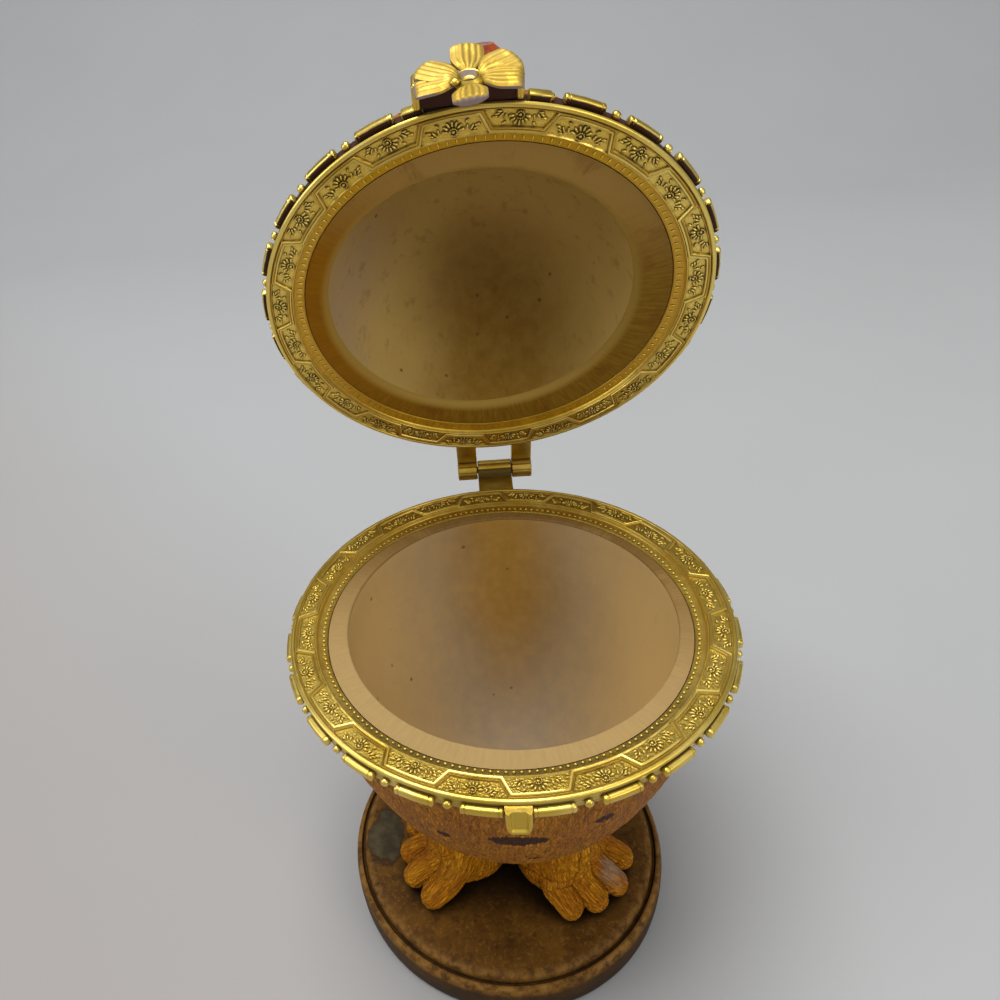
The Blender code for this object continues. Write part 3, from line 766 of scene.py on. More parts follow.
def knuckle(x_low, x_high, radius):
    """Hinge knuckle turned about the pin, with fine ribs along it."""
    wide = x_high - x_low
    chamfer, setback = 0.15 * MM, 0.2 * MM
    profile = [(0.0, 0.0), (radius - setback, 0.0), (radius, chamfer), (radius, wide / 2.0),
               (radius, wide - chamfer), (radius - setback, wide), (0.0, wide)]

    def rib(angle, run):
        return -0.22 * MM * max(0.0, 1.0 - abs((angle / TAU * 8.0 + 0.2) % 1.0 - 0.5) / 0.13)

    item = turned("knuckle", profile, 156, relief=rib)
    item.data.transform(Matrix.Translation((x_low, HINGE.y, HINGE.z)) @ Matrix.Rotation(QUARTER, 4, "Y"))
    return item


def hinge_leaves(gilt, side, spans, wash):
    """Arms and knuckles of one rim, side +1 for the lid's; the wash lies on the knuckles' lower part."""
    made = []
    inner, outer = sorted((PARTING + side * 0.5 * MM, PARTING + side * 2.4 * MM))
    for x_low, x_high in spans:
        arm = block("arm", (x_low, 30.9 * MM, inner), (x_high, HINGE.y + 0.1 * MM, outer), 0.22 * MM)
        roll = knuckle(x_low, x_high, radius=1.75 * MM)
        dressed(arm, wash=0.15)
        dressed(roll)
        top = points_of(roll.data)[:, 2] > HINGE.z + 0.9 * MM
        store(roll.data, "wash", np.where(top, CLEAN, wash))
        made += [coated(arm, gilt), coated(roll, gilt)]
    return made


def catch_tongue(gilt):
    """Tongue on the front of the lower rim: a dished tab with a raised lip round its sides and lower end."""
    top = PARTING - 0.72 * MM
    height, half, front, shift = 3.1 * MM, 1.65 * MM, -34.3 * MM, -0.4 * MM
    across, down = 28, 30
    lip, rounding = 0.42, 0.62          # mm

    def width(v):
        return half * (1.0 - 0.05 * v) * max(0.30, 1.0 - max(0.0, (v - 0.60) / 0.40) ** 3.0) ** 0.5

    def depth(x, v):
        """How far the face lies behind the foremost point, mm."""
        inside = min(width(v) - abs(x - shift), (1.0 - v) * height) / MM
        if inside < lip:
            return rounding * (1.0 - sqrt(max(0.0, 1.0 - ((lip - inside) / lip) ** 2)))
        dish = min(1.0, (inside - lip) / 0.45)
        return 0.40 * dish * dish * (3.0 - 2.0 * dish)

    fore, back = [], []
    for j in range(down + 1):
        v = j / down
        for i in range(across + 1):
            x = (-1.0 + 2.0 * i / across) * width(v) + shift
            fore.append((x, front + (depth(x, v) + 0.75 * (1.0 - v) ** 1.5) * MM, top - height * v))
            back.append((0.98 * x, -31.4 * MM - 1.4 * MM * min(1.0, 2.0 * v), top - 0.99 * height * v))
    tab = from_points("tongue", fore + back, padded_faces(down + 1, across + 1))
    return coated(dressed(tab, crease=60.0), gilt)


def mirrored(item):
    """Turn a rim in the lower rim's place into the lid's, still shut."""
    item.data.transform(Matrix.Translation((0, 0, 2.0 * PARTING)) @ Matrix.Diagonal((1.0, 1.0, -1.0, 1.0)))
    item.data.flip_normals()
    store(item.data, "shut_place", points_of(item.data))
    return item


# ---- flower clasp

def petal(angle, half, reach, rise, worn, square):
    """Fan-shaped petal with grooves that run out from the flower's heart; rise lifts its tip."""
    points, bare = [], []
    along, across = 24, 30
    for layer in (1.0, -1.0):
        for i in range(along + 1):
            s = i / along
            out = 1.15 + (reach - 1.15) * s
            spread = 0.40 + (half - 0.40) * sin(min(1.0, s / 0.58) * QUARTER) ** 1.1
            spread *= sqrt(max(0.0, 1.0 - (0.50 - 0.30 * square) * max(0.0, (s - 0.84) / 0.16) ** 2.6))
            for j in range(across + 1):
                t = -1.0 + 2.0 * j / across
                bulge = 1.0 - abs(t) ** 3.0
                end = 1.0 - max(0.0, (s - 0.86) / 0.14) ** 2.0
                groove = abs(sin(t * pi * 2.5 + QUARTER)) ** 0.8
                top = 0.62 * (0.30 + 0.70 * bulge) * (0.3 + 0.7 * end) * (0.70 + 0.30 * s)
                top += 0.15 * (groove - 1.0) * bulge * min(1.0, 3.0 * s) - 0.45 * exp(-(s / 0.13) ** 2)
                curl = -0.10 + rise * s * s
                lift = top + curl if layer > 0 else -0.42 + curl * 0.9 + 0.25 * (1.0 - bulge)
                points.append((out - (0.35 - 0.30 * square) * abs(t) ** 2.4 * s, t * spread, lift))
                edge = max(0.0, (s - 0.90) / 0.10, (abs(t) - 0.90) / 0.10 * s)
                bare.append(worn * (edge if layer > 0 else 1.0))
    item = from_points("petal", in_mm(points), padded_faces(along + 1, across + 1))
    tilt = Matrix.Rotation(radians(5.0), 4, "X")
    item.data.transform(CLASP_FACE @ Matrix.Rotation(angle, 4, "Z") @ tilt)
    dressed(item, crease=55.0, matt=1.0, wash=0.36)
    store(item.data, "bare", bare)
    return item


HEART_PROFILE = [(0.0, -0.55), (1.7, -0.55), (1.75, -0.1), (1.5, 0.16), (1.3, 0.36), (1.1, 0.30), (0.9, -0.10),
                 (0.5, -0.22), (0.2, -0.16), (0.0, -0.15)]


def flower_heart():
    """Sunk heart in a turned collar, dark below and rubbed above."""
    heart = turned("heart", in_mm(HEART_PROFILE), 40)
    local = points_of(heart.data) / MM
    sunk = np.hypot(local[:, 0], local[:, 1]) < 1.15
    heart.data.transform(CLASP_FACE)
    dressed(heart, crease=55.0)
    store(heart.data, "bare", (sunk & (local[:, 1] > 0.5)) * 0.9)
    store(heart.data, "wash", (sunk & (local[:, 1] < 0.1)) * 1.0)
    return heart


def flower_clasp(gilt):
    """Six petals about a sunk heart, two straps down to the rim and, between them, a dark block that is
    painted shadow in the gap behind the flower.
    """
    shapes = [(90.0, 1.95, 6.6, 0.35, 0.2, 0.3), (151.0, 2.35, 6.5, 0.0, 0.6, 0.0),
              (187.0, 2.0, 6.3, -0.25, 0.8, 1.0), (270.0, 2.0, 4.5, -0.1, 1.2, 0.5),
              (354.0, 1.8, 6.1, -0.25, 0.8, 1.0), (29.0, 2.45, 6.5, 0.0, 0.6, 0.0)]
    parts = [petal(radians(angle), *rest) for angle, *rest in shapes]
    bead = lump("bead", CLASP_FACE @ spot(-1.55, -1.05, 0.35, (0.62, 0.58, 0.38)), 16, 10)
    parts += [flower_heart(), dressed(bead, crease=55.0)]
    foot = -32.1 * MM                   # where the straps and the painted-shadow block end inside the rim
    for reach in (-6.15 * MM, 5.8 * MM):
        middle, half = CLASP.x + reach, 0.46 * MM
        strap = block("strap", (middle - half, CLASP.y + 0.2 * MM, PARTING + 0.35 * MM),
                      (middle + half, foot, PARTING + 3.2 * MM), 0.40 * MM, 4)
        parts.append(dressed(strap, crease=55.0))
    # Painted shadow: a block washed fully dark fills the gap behind the flower, between the straps.
    shade_block = block("shade_block", (CLASP.x - 5.9 * MM, -34.85 * MM, PARTING + 0.75 * MM),
                   (CLASP.x + 5.6 * MM, foot, PARTING + 2.9 * MM), 0.12 * MM, 1)
    parts.append(dressed(shade_block, wash=1.0))
    for angle in (-103.6, -77.2):
        stub = block("stub", (31.5 * MM, -1.4 * MM, PARTING + 1.0 * MM),
                     (32.9 * MM, 1.4 * MM, PARTING + 2.4 * MM), 0.22 * MM)
        stub.data.transform(Matrix.Rotation(radians(angle), 4, "Z"))
        dressed(stub, crease=55.0)
        store(stub.data, "wash", (points_of(stub.data, "normal")[:, 2] < -0.8) * 1.0)
        parts.append(stub)
    return joined("clasp_flower", [coated(part, gilt) for part in parts])


# ---- jewel

def jewel_frame():
    """Place on the lid's outside where the jewel sits, its Z along the shell's normal."""
    def radius_at(z):
        return SHELL_RADIUS * sqrt(1.0 - ((z - SHELL_START) / LID["height"]) ** LID["power"])

    step = 0.1 * MM
    radius = radius_at(JEWEL.z)
    normal = Vector((0.0, -step, radius - radius_at(JEWEL.z + step))).normalized()
    seat = Vector((JEWEL.x, -radius, PARTING + JEWEL.z))
    return Matrix.Translation(seat) @ normal.to_track_quat("Z", "Y").to_matrix().to_4x4()


COLLET_PROFILE = [(0.0, 0.6), (1.75, 0.6), (1.7, 1.3), (1.55, 2.0), (1.8, 2.5), (2.25, 2.8), (2.35, 3.1),
                  (2.2, 3.4), (0.0, 3.4)]


def collet(gilt):
    """Gilt cup with a turned collar and four claws."""
    parts = [turned("collet", in_mm(COLLET_PROFILE), 48)]
    for k in range(4):
        a = TAU * (k + 0.5) / 4.0
        claw = spot(2.25 * cos(a), 2.25 * sin(a), 3.75, (0.28, 0.34, 0.62), a, -0.35)
        parts.append(lump("claw", claw, 10, 8))
    for item in parts:
        item.data.transform(jewel_frame())
        dressed(coated(item, gilt))
    return joined("jewel_setting", parts)


def jewel(stone):
    """Brilliant-cut stone: table, crown facets, girdle and a short pavilion."""
    sides = 10
    levels = [(0.9, 3.45, 0.0), (2.2, 3.95, 0.5), (2.38, 4.2, 0.5), (2.12, 5.0, 0.0), (1.3, 5.8, 0.5)]
    points = in_mm([(r * cos(TAU * (k + turn) / sides), r * sin(TAU * (k + turn) / sides), height)
                    for r, height, turn in levels for k in range(sides)])
    faces = [tuple(range(sides))[::-1], tuple(range(4 * sides, 5 * sides))]
    for k in range(sides):
        n = (k + 1) % sides
        for low in (0, 3 * sides):              # triangles that turn half a step
            high = low + sides
            faces += [(low + k, low + n, high + k), (low + n, high + n, high + k)]
        girdle, crown = sides, 2 * sides
        faces.append((girdle + k, girdle + n, crown + n, crown + k))
        faces += [(crown + k, 3 * sides + n, 3 * sides + k), (crown + k, crown + n, 3 * sides + n)]
    item = coated(from_points("jewel_stone", points, faces), stone)
    item.data.transform(jewel_frame())
    store(item.data, "shut_place", points_of(item.data))
    item.data.shade_flat()
    return item


# ---- carved shells

def egg_outline(shell, steps):
    """(radius, distance from the parting plane) from the shelf to the tip."""
    start = asin((SHELF - SHELL_START) / shell["height"])
    out = []
    for k in range(steps):
        depth = sin(start + (QUARTER - start) * k / steps)
        radius = SHELL_RADIUS * sqrt(max(0.0, 1.0 - depth ** shell["power"]))
        out.append((radius, SHELL_START + shell["height"] * depth))
    return out + [(0.0, SHELL_START + shell["height"])]


def stroke_relief(flow, across, along, reach):
    """Depth of the carved strokes where the flow coordinates are (two across, one along the fur)."""
    wobble = 0.35 * noise.noise(Vector((flow[0] * 160.0, flow[1] * 160.0, flow[2] * 220.0)))
    value = noise.noise(Vector((flow[0] / across + wobble, flow[1] / across, flow[2] / along)))
    ridge = min(1.0, abs(value) / 0.30)
    small = noise.noise(Vector((flow[0] / across * 0.4, flow[1] / across * 0.4, flow[2] / along * 0.7 + 9.0)))
    return reach * (ridge * ridge * (3.0 - 2.0 * ridge) - 1.0 + 0.5 * small)


def carved_shell(name, shell, side, mats, segments, steps, relief):
    """Egg shell with carved strokes outside and a flat ledge, where the hollow is cut later."""
    profile = [(0.0, LEDGE), (LEDGE_RADIUS, LEDGE), (LEDGE_RADIUS, SHELF)] + egg_outline(shell, steps)
    profile = [(r, PARTING + side * d) for r, d in profile]
    start = run_along(profile)[4]

    def carve(angle, run):
        if run <= start:
            return 0.0
        flow = (SHELL_RADIUS * cos(angle), SHELL_RADIUS * sin(angle), run)
        fade = min(1.0, (run - start) / (2.0 * MM))
        return -side * stroke_relief(flow, 0.75 * MM, 1.9 * MM, relief) * fade

    item = coated(turned(name, profile, segments, relief=carve), *mats)
    for face in item.data.polygons:
        flat = abs(face.center.z - (PARTING + side * LEDGE)) < 0.05 * MM
        face.material_index = 1 if flat and face.center.to_2d().length < LEDGE_RADIUS else 0
    return item


def hollow_tool(shell, side, mats):
    """Smooth hollow with a softened mouth, open through the ledge."""
    mouth, soft, deep = shell["mouth"], shell["fillet"], shell["cavity"]
    outline = [(0.0, -6.0 * MM), (mouth + soft, -6.0 * MM)]
    for k in range(6):
        turn = QUARTER * k / 6
        outline.append((mouth + soft * (1.0 - sin(turn)), LEDGE + soft * (1.0 - cos(turn))))
    start, steps = asin(soft / deep), 26
    for k in range(steps):
        turn = start + (QUARTER - start) * k / steps
        outline.append((mouth * cos(turn), LEDGE + deep * sin(turn)))
    outline.append((0.0, LEDGE + deep))
    item = turned("hollow", [(r, PARTING + side * d) for r, d in outline], 128, shell["centre"])
    for face in coated(item, *mats).data.polygons:
        face.material_index = 1 if abs(face.center.z - PARTING) < LEDGE + soft - 0.02 * MM else 2
    return item


def shell_fur(co, stretch):
    """Flow coordinates of the painted fur on a shell: two round it and one along it."""
    angle = np.arctan2(co[:, 1], co[:, 0])
    run = np.abs(co[:, 2] - PARTING) * stretch
    return np.stack([SHELL_RADIUS * np.cos(angle), SHELL_RADIUS * np.sin(angle), run], axis=1)


def leopard_marks(points, placed, seed, count, low, high):
    """Strength of the leopard marks at the points of a shut shell.

    placed gives marks as (angle, height, half width, half height, strength); the rest are drawn at random,
    clear of each other and of the bowl's upper front.
    """
    rng = random.Random(seed)
    spots = list(placed)
    tries = 0
    while len(spots) < count and tries < 4000:
        tries += 1
        angle, height = rng.uniform(0.0, TAU), rng.uniform(low, high)
        if any(abs((angle - s[0] + pi) % TAU - pi) * 26.0 < 5.2 and abs(height - s[1]) < 4.2 * MM
               for s in spots) or -2.62 < angle - TAU < -0.45 and height > 30 * MM:
            continue
        spots.append((angle, height, rng.uniform(1.0, 2.2) * MM, rng.uniform(0.55, 1.2) * MM,
                      rng.uniform(0.75, 1.0)))
    angle = np.arctan2(points[:, 1], points[:, 0])
    radius = np.hypot(points[:, 0], points[:, 1])
    out = np.zeros(len(points), np.float32)
    for a, z, wide, tall, strength in spots:
        gap = (angle - a + pi) % TAU - pi
        d = (gap * radius / wide) ** 2 + ((points[:, 2] - z) / tall) ** 2
        out = np.maximum(out, strength * np.exp(-0.75 * d))
    return out


# ---- paws

def toe_line(angle, tip, aside):
    """Line along a toe: tip, knuckle, ankle and up into the bowl."""
    turn = Matrix.Rotation(angle, 4, "Z")
    spots = [(tip - 2.35, aside * 1.0, 2.35), (tip - 5.6, aside * 0.87, 3.2), (13.0, aside * 0.66, 5.0),
             (11.0, aside * 0.52, 9.0), (10.0, aside * 0.46, 18.0)]
    return [turn @ Vector((x * MM, y * MM, PAW_FLOOR + z * MM)) for x, y, z in spots]


TOE_LINES = [[toe_line(angle, *toe) for toe in toes] for angle, toes in PAWS]
TOE_GIRTH = (2.35, 2.65, 2.75, 2.6, 2.3)   # radius at each of those points, mm


def paw_flow(points):
    """Flow coordinates near the paws, across the nearest toe's line and along it, and that toe's number."""
    best = np.full(len(points), 1e9)
    flow = np.zeros((len(points), 3))
    owner = np.zeros(len(points), int)
    for paw, lines in enumerate(TOE_LINES):
        for toe, line in enumerate(lines):
            run = 0.0
            for a, b in zip(line, line[1:]):
                a, b = np.array(a), np.array(b)
                length = np.linalg.norm(b - a)
                way = (b - a) / length
                t = np.clip((points - a) @ way, 0.0, length)
                gap = points - (a + t[:, None] * way)
                d = np.linalg.norm(gap, axis=1)
                nearer = d < best
                aside = np.cross(way, (0.0, 0.0, 1.0))
                aside /= np.linalg.norm(aside)
                up = np.cross(aside, way)
                along = (points - a) @ way + run
                value = np.stack([gap @ aside + 0.02 * toe + 0.1 * paw, gap @ up, along], axis=1)
                best = np.where(nearer, d, best)
                flow = np.where(nearer[:, None], value, flow)
                owner = np.where(nearer, paw * 4 + toe, owner)
                run += length
    return flow, owner


def paws_solid():
    """The three paws, their toes, insteps and legs melted together, then carved with fur."""
    bm = bmesh.new()
    centres, radii = [], []
    for (angle, _), lines in zip(PAWS, TOE_LINES):
        turn = Matrix.Rotation(angle, 4, "Z")

        def place(forward, height, pitch):
            there = Matrix.Translation((forward * MM, 0.0, PAW_FLOOR + height * MM))
            return turn @ there @ Matrix.Rotation(radians(pitch), 4, "Y")

        bmesh.ops.create_cone(bm, cap_ends=True, segments=40, radius1=6.9 * MM, radius2=6.3 * MM,
                              depth=17.0 * MM, matrix=place(10.0, 9.6, -8.0))
        ball(bm, place(9.0, 2.4, 9.0) @ Matrix.Diagonal((7.0 * MM, 7.2 * MM, 5.0 * MM, 1.0)), 40, 26)
        for line in lines:
            for k in range(len(line) - 1):
                centres += [line[k].lerp(line[k + 1], t / 8.0) for t in range(8)]
                radii += [(TOE_GIRTH[k] + (TOE_GIRTH[k + 1] - TOE_GIRTH[k]) * t / 8.0) * MM for t in range(8)]
    item = joined("paws", [from_bmesh("paws", bm), balls("toes", centres, radii)])
    melt = item.modifiers.new("melt", "REMESH")
    melt.mode = "VOXEL"
    melt.voxel_size = 0.29 * MM
    soften = item.modifiers.new("soften", "SMOOTH")
    soften.factor = 0.5
    soften.iterations = 3
    mesh = applied(item).data
    co = points_of(mesh)
    flow, _ = paw_flow(co)
    push = np.array([stroke_relief(f, 0.52 * MM, 3.6 * MM, 0.19 * MM) for f in flow])
    co = co + points_of(mesh, "normal") * push[:, None]
    co[:, 2] = np.maximum(co[:, 2], PAW_FLOOR)
    move_points(mesh, co)
    return item


# Marks on the bowl's front: angle in degrees, height, half width, half height in mm, and strength
FRONT_MARKS = [(-90.8, 49.5, 2.9, 1.45, 1.35), (-96.0, 49.9, 1.3, 0.95, 1.15), (-85.2, 49.6, 1.2, 1.0, 1.15),
               (-112.7, 47.6, 1.0, 1.0, 1.2), (-67.3, 51.9, 1.6, 0.9, 1.1), (-86.1, 40.3, 1.7, 0.45, 0.95),
               (-103.0, 52.4, 1.6, 0.4, 0.7), (-60.0, 41.5, 0.7, 0.5, 0.7)]
PAW_SLOT = 3                            # place of the paws' material among the bowl's


def leopard_bowl(mats):
    """Bowl and paws as one casting."""
    bowl = carved_shell("leopard_bowl_and_paws", BOWL, -1.0, mats, segments=500, steps=92, relief=0.12 * MM)
    paws = coated(paws_solid(), *mats)
    for face in paws.data.polygons:
        face.material_index = PAW_SLOT
    combined(bowl, paws, "UNION")
    combined(bowl, hollow_tool(BOWL, -1.0, mats), "DIFFERENCE")
    mesh = bowl.data
    co = points_of(mesh)
    on_paw = np.zeros(len(co), bool)
    for face in mesh.polygons:
        if face.material_index == PAW_SLOT:
            on_paw[list(face.vertices)] = True
    furry, owner = paw_flow(co)
    store(mesh, "fur_flow", np.where(on_paw[:, None], furry, shell_fur(co, 1.15)))
    placed = [(radians(a), z * MM, w * MM, t * MM, k) for a, z, w, t, k in FRONT_MARKS]
    marks = leopard_marks(co, placed, seed=11, count=66, low=24.0 * MM, high=60.0 * MM)
    store(mesh, "leopard", np.where(on_paw, 0.0, marks))
    worn_toe = 2
    tip = np.array(TOE_LINES[0][worn_toe][0]) + np.array((-0.5 * MM, 1.2 * MM, 1.6 * MM))
    worn = np.exp(-np.linalg.norm((co - tip) / np.array([3.0, 3.2, 2.6]) / MM, axis=1) ** 2)
    store(mesh, "worn", np.where(on_paw & (owner == worn_toe), worn * 1.1, 0.0))
    return dressed(bowl, crease=38.0)


def leopard_lid(mats):
    lid = carved_shell("leopard_lid", LID, 1.0, mats, segments=400, steps=70, relief=0.11 * MM)
    combined(lid, hollow_tool(LID, 1.0, mats), "DIFFERENCE")
    co = points_of(lid.data)
    store(lid.data, "fur_flow", shell_fur(co, 1.2))
    marks = leopard_marks(co, [], seed=23, count=70, low=PARTING + 5.0 * MM, high=PARTING + 34.0 * MM)
    store(lid.data, "leopard", marks)
    store(lid.data, "worn", np.zeros(len(co)))
    return dressed(lid, crease=38.0)


# ---- base and pin

def bronze_base(bronze):
    """Round plinth with a rolled edge and an incised groove."""
    centre = (sum(c.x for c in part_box("base_disc")) / 2.0, 0.0)
    outline = [(0.0, 0.0), (27.5, 0.0), (28.1, 0.22), (28.42, 0.8), (28.55, 2.0), (28.6, 4.0), (28.58, 5.4),
               (28.46, 6.3), (28.22, 6.95), (27.95, 7.28), (27.62, 7.46), (27.36, 7.42), (27.2, 7.24),
               (27.06, 7.0), (26.93, 6.98), (26.78, 7.22), (26.62, 7.62), (26.36, 7.98), (25.9, 8.26),
               (25.2, 8.37)]
    outline += [(r, BASE_TOP / MM) for r in (24.2, 21.0, 17.0, 12.0, 6.0, 0.0)]

    def uneven(angle, run):
        here = Vector((28.0 * cos(angle), 28.0 * sin(angle), run / MM)) * 0.16
        return -0.05 * MM * (1.0 + noise.noise(here))

    item = coated(turned("bronze_base", in_mm(outline), 220, centre, relief=uneven), bronze)
    mesh = item.data
    co = points_of(mesh)
    co[:, 2] = np.clip(co[:, 2], 0.0, BASE_TOP)
    move_points(mesh, co)
    reach = np.hypot(co[:, 0] - centre[0], co[:, 1]) / MM
    outer, inner = (np.exp(-((reach - edge) / 0.5) ** 2) for edge in (28.0, 26.2))
    # Lighter bands on the top of the rolled edge and on the shoulder inside the groove.
    store(mesh, "lighter_bands", np.clip(outer * (co[:, 2] > 6.0 * MM) + 0.7 * inner, 0.0, 1.0))
    store(mesh, "upper_side", (co[:, 2] > 5.5 * MM) * 1.0)   # the bare drab patch lies on the upper side only, and the side below gets painted shade
    return dressed(item, crease=40.0)


def pin_rod(gilt):
    """Pin through the knuckles, with domed ends."""
    reach = 6.65
    end = [(0.0, reach), (0.35, reach - 0.04), (0.52, reach - 0.16), (0.6, reach - 0.34)]
    item = turned("pin_rod", in_mm([(r, -h) for r, h in end] + end[::-1]), 28)
    middle = HINGE + Vector((HINGE_SHIFT, 0.0, 0.0))
    item.data.transform(Matrix.Translation(middle) @ Matrix.Rotation(QUARTER, 4, "Y"))
    return dressed(coated(item, gilt))


# ---- the box

REPEAT = repeat_tree()
GILT = gilt_paint("gilt_plating", dark=(0.105, 0.066, 0.010), ground_tone=(0.36, 0.25, 0.036),
                  band_tone=(0.60, 0.43, 0.085), stain=0.74, hinge_side_darkening=0.8, sides=0.3)
# The lid's gilt is the same metal as the lower rim's: its brighter ground tone, its saturated yellow band and
# its stronger side brightening are painted reflection.
LID_GILT = gilt_paint("gilt_plating_lid", dark=(0.055, 0.016, 0.005), ground_tone=(0.90, 0.67, 0.13),
                      band_tone=(0.98, 0.70, 0.05), stain=0.85, hinge_side_darkening=0.6, sides=0.8)
FUR = fur_paint("leopard_fur", (0.43, 0.150, 0.002), (0.56, 0.220, 0.005), (0.11, 0.030, 0.001),
                across=2300.0, along=620.0, depth=0.12 * MM)
PAW_FUR = fur_paint("paw_fur", (0.55, 0.190, 0.003), (0.73, 0.320, 0.007), (0.20, 0.048, 0.001),
                    across=2500.0, along=330.0, depth=0.18 * MM)
# Bowl: painted shade at its centre, and a darker, warmer spot of painted shade on the far wall by the hinge.
BOWL_INSIDE = inside_paint("bowl_lacquer", BOWL, core=(0.0, 12.0 * MM), squash=0.35, spread=28.0 * MM,
                           middle=(0.315, 0.24, 0.155), rim=(0.60, 0.405, 0.155), lighting_tone=(0.36, 0.20, 0.035),
                           lighting_spot=(0.0, 27.0 * MM), lighting_reach=17.0 * MM, marks=0.25)
# Lid: painted shade towards the hinge side, and painted light on its left side.
LID_INSIDE = inside_paint("lid_lacquer", LID, core=(3.0 * MM, 19.0 * MM), squash=1.0, spread=22.0 * MM,
                          middle=(0.27, 0.148, 0.020), rim=(0.56, 0.39, 0.12), lighting_tone=(0.48, 0.345, 0.19),
                          lighting_spot=(-22.0 * MM, 2.0 * MM), lighting_reach=14.0 * MM)
BOWL_LEDGE = ledge_paint("bowl_ledge", BOWL, (0.25, 0.97, 0.0), pale=(0.38, 0.255, 0.104),
                         deep=(0.34, 0.228, 0.09), stain=(0.42, 0.26, 0.08), far_pale=(0.22, 0.122, 0.034),
                         far_deep=(0.18, 0.098, 0.026), blots=0.3)
LID_LEDGE = ledge_paint("lid_ledge", LID, (0.8, 0.6, 0.0), pale=(0.33, 0.140, 0.0005),
                        deep=(0.27, 0.105, 0.0004), stain=(0.15, 0.035, 0.001), far_pale=(0.27, 0.155, 0.014),
                        far_deep=(0.19, 0.090, 0.005), blots=0.5, front=(0.40, 0.245, 0.065),
                        edge=(0.42, 0.27, 0.055))

lower = gilt_rim("gilt_lower_rim", GILT, LOWER_PHASE, True, runs=[(7, 22)], turn=BAR_PHASE, wash=0.35,
                 band_wash=0.85, bar_wash_and_shade=0.0, beads=((0.25, 0.25, 0.25), 180, 27.34))
middle_leaf = hinge_leaves(GILT, -1.0, [(HINGE_SHIFT - MIDDLE_HALF, HINGE_SHIFT + MIDDLE_HALF)], 0.95)
lower = joined("gilt_lower_rim", [lower, catch_tongue(GILT), *middle_leaf])
upper = mirrored(gilt_rim("gilt_lid_rim", LID_GILT, LID_PHASE, False, runs=[(7, 10), (19, 10)], turn=0.0,
                          wash=1.0, band_wash=0.10, bar_wash_and_shade=1.0, beads=((0.42, 0.11, 0.10), 150, 27.55)))
side_leaves = hinge_leaves(LID_GILT, 1.0, [(HINGE_SHIFT + NEAR, HINGE_SHIFT + FAR),
                                           (HINGE_SHIFT - FAR, HINGE_SHIFT - NEAR)], CLEAN)
upper = joined("gilt_lid_rim", [upper, *side_leaves])

settle(bronze_base(bronze_paint()), "root", "antique_bronze_paint", "base_disc")
settle(leopard_bowl([FUR, BOWL_LEDGE, BOWL_INSIDE, PAW_FUR]), "root", "tan_leopard_paint",
       "egg_bowl_with_paws")
settle(lower, "root", "gilt_metal", "lower_rim")
settle(pin_rod(GILT), "root", "gilt_metal", "hinge_pin")
settle(opened(leopard_lid([FUR, LID_LEDGE, LID_INSIDE])), "lid", "tan_leopard_paint", "egg_lid")
settle(opened(upper), "lid", "gilt_metal", "lid_rim")
settle(opened(flower_clasp(LID_GILT)), "lid", "gilt_metal", "flower_clasp")
settle(opened(collet(LID_GILT)), "lid", "gilt_metal", "jewel_collet")
settle(opened(jewel(stone_paint())), "lid", "amber_stone", "amber_jewel")


# ---- floor, light and camera

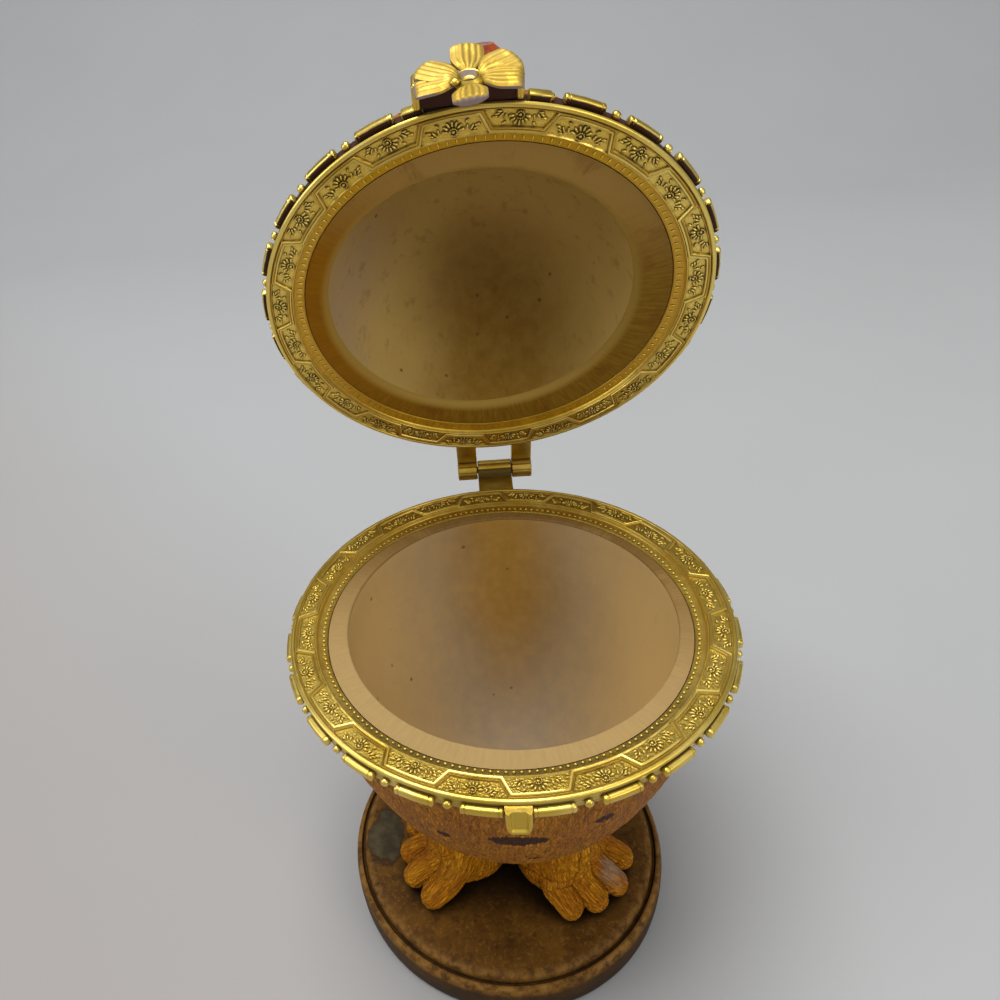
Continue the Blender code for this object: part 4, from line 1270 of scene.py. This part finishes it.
def pale_floor():
    """Sheet of pale paper that lies flat under the box and curves up behind it."""
    p = Paint("pale_paper")
    coords = p.node("ShaderNodeTexCoord")["Object"]
    # Painted shade: the floor turns darker and warmer towards the front left.
    near = p.ramp(p.vector("DOT_PRODUCT", coords, (0.75, 0.65, 0.0)), 0.05, -0.10)
    tone = p.mix(p.noise(coords, 14.0), (0.40, 0.405, 0.41), (0.425, 0.43, 0.435))
    tone = p.mix(near, tone, (0.345, 0.325, 0.315))
    start, bend, steps = 0.40, 0.45, 24
    side = [(-3.0, 0.0), (-1.0, 0.0), (0.0, 0.0)]
    for k in range(steps + 1):
        turn = QUARTER * k / steps
        side.append((start + bend * sin(turn), bend * (1.0 - cos(turn))))
    side.append((start + bend, 3.0))
    points = [(x, y, z) for x in (-4.0, 4.0) for y, z in side]
    count = len(side)
    faces = [(k, count + k, count + k + 1, k + 1) for k in range(count - 1)]
    floor = coated(from_points("floor", points, faces), p.finish(tone, 0.85, Specular_IOR_Level=0.2))
    floor.data.flip_normals()           # an open sheet has no outside; its face is the one above
    floor.data.shade_smooth()


def soft_light(name, place, target, size, power, colour):
    data = bpy.data.lights.new(name, "AREA")
    data.shape = "DISK"
    data.size = size
    data.energy = power
    data.color = colour
    item = new_object(name, data)
    item.location = place
    item.rotation_euler = (Vector(target) - Vector(place)).to_track_quat("-Z", "Y").to_euler()


def studio():
    """Pale room, brighter overhead, with one broad lamp above and two weak ones."""
    world = bpy.data.worlds.new("soft_room")
    bpy.context.scene.world = world
    world.use_nodes = True
    n = Nodes(world.node_tree)
    height = n.split(n.node("ShaderNodeTexCoord")["Generated"])[2]
    strength = n.node("ShaderNodeMapRange", enumerate((height, -0.2, 0.9, 0.20, 0.75)))["Result"]
    background = n.tree.nodes["Background"].inputs
    n.feed(background["Strength"], strength)
    n.feed(background["Color"], (0.97, 0.98, 1.0))
    middle = (0.0, 0.0, 0.07)
    soft_light("overhead", (-0.10, 0.05, 0.85), middle, 0.50, 5.3, (1.0, 0.99, 0.97))
    soft_light("front_right", (0.55, -0.45, 0.45), middle, 0.40, 1.2, (1.0, 0.96, 0.90))
    soft_light("left_window", (-0.70, -0.10, 0.35), middle, 0.45, 1.15, (0.93, 0.96, 1.0))
    bpy.context.scene.view_settings.view_transform = "Standard"


def close_camera():
    data = bpy.data.cameras.new("camera")
    data.sensor_width = 36.0
    data.lens = 29.3375
    data.shift_x = 0.110843
    data.shift_y = 0.0122235
    data.clip_start = 0.01
    item = new_object("camera", data)
    item.location = (-0.00265, -0.0897, 0.14936)
    item.rotation_euler = [radians(a) for a in (54.039, 6.669, 3.044)]
    bpy.context.scene.camera = item


pale_floor()
studio()
close_camera()
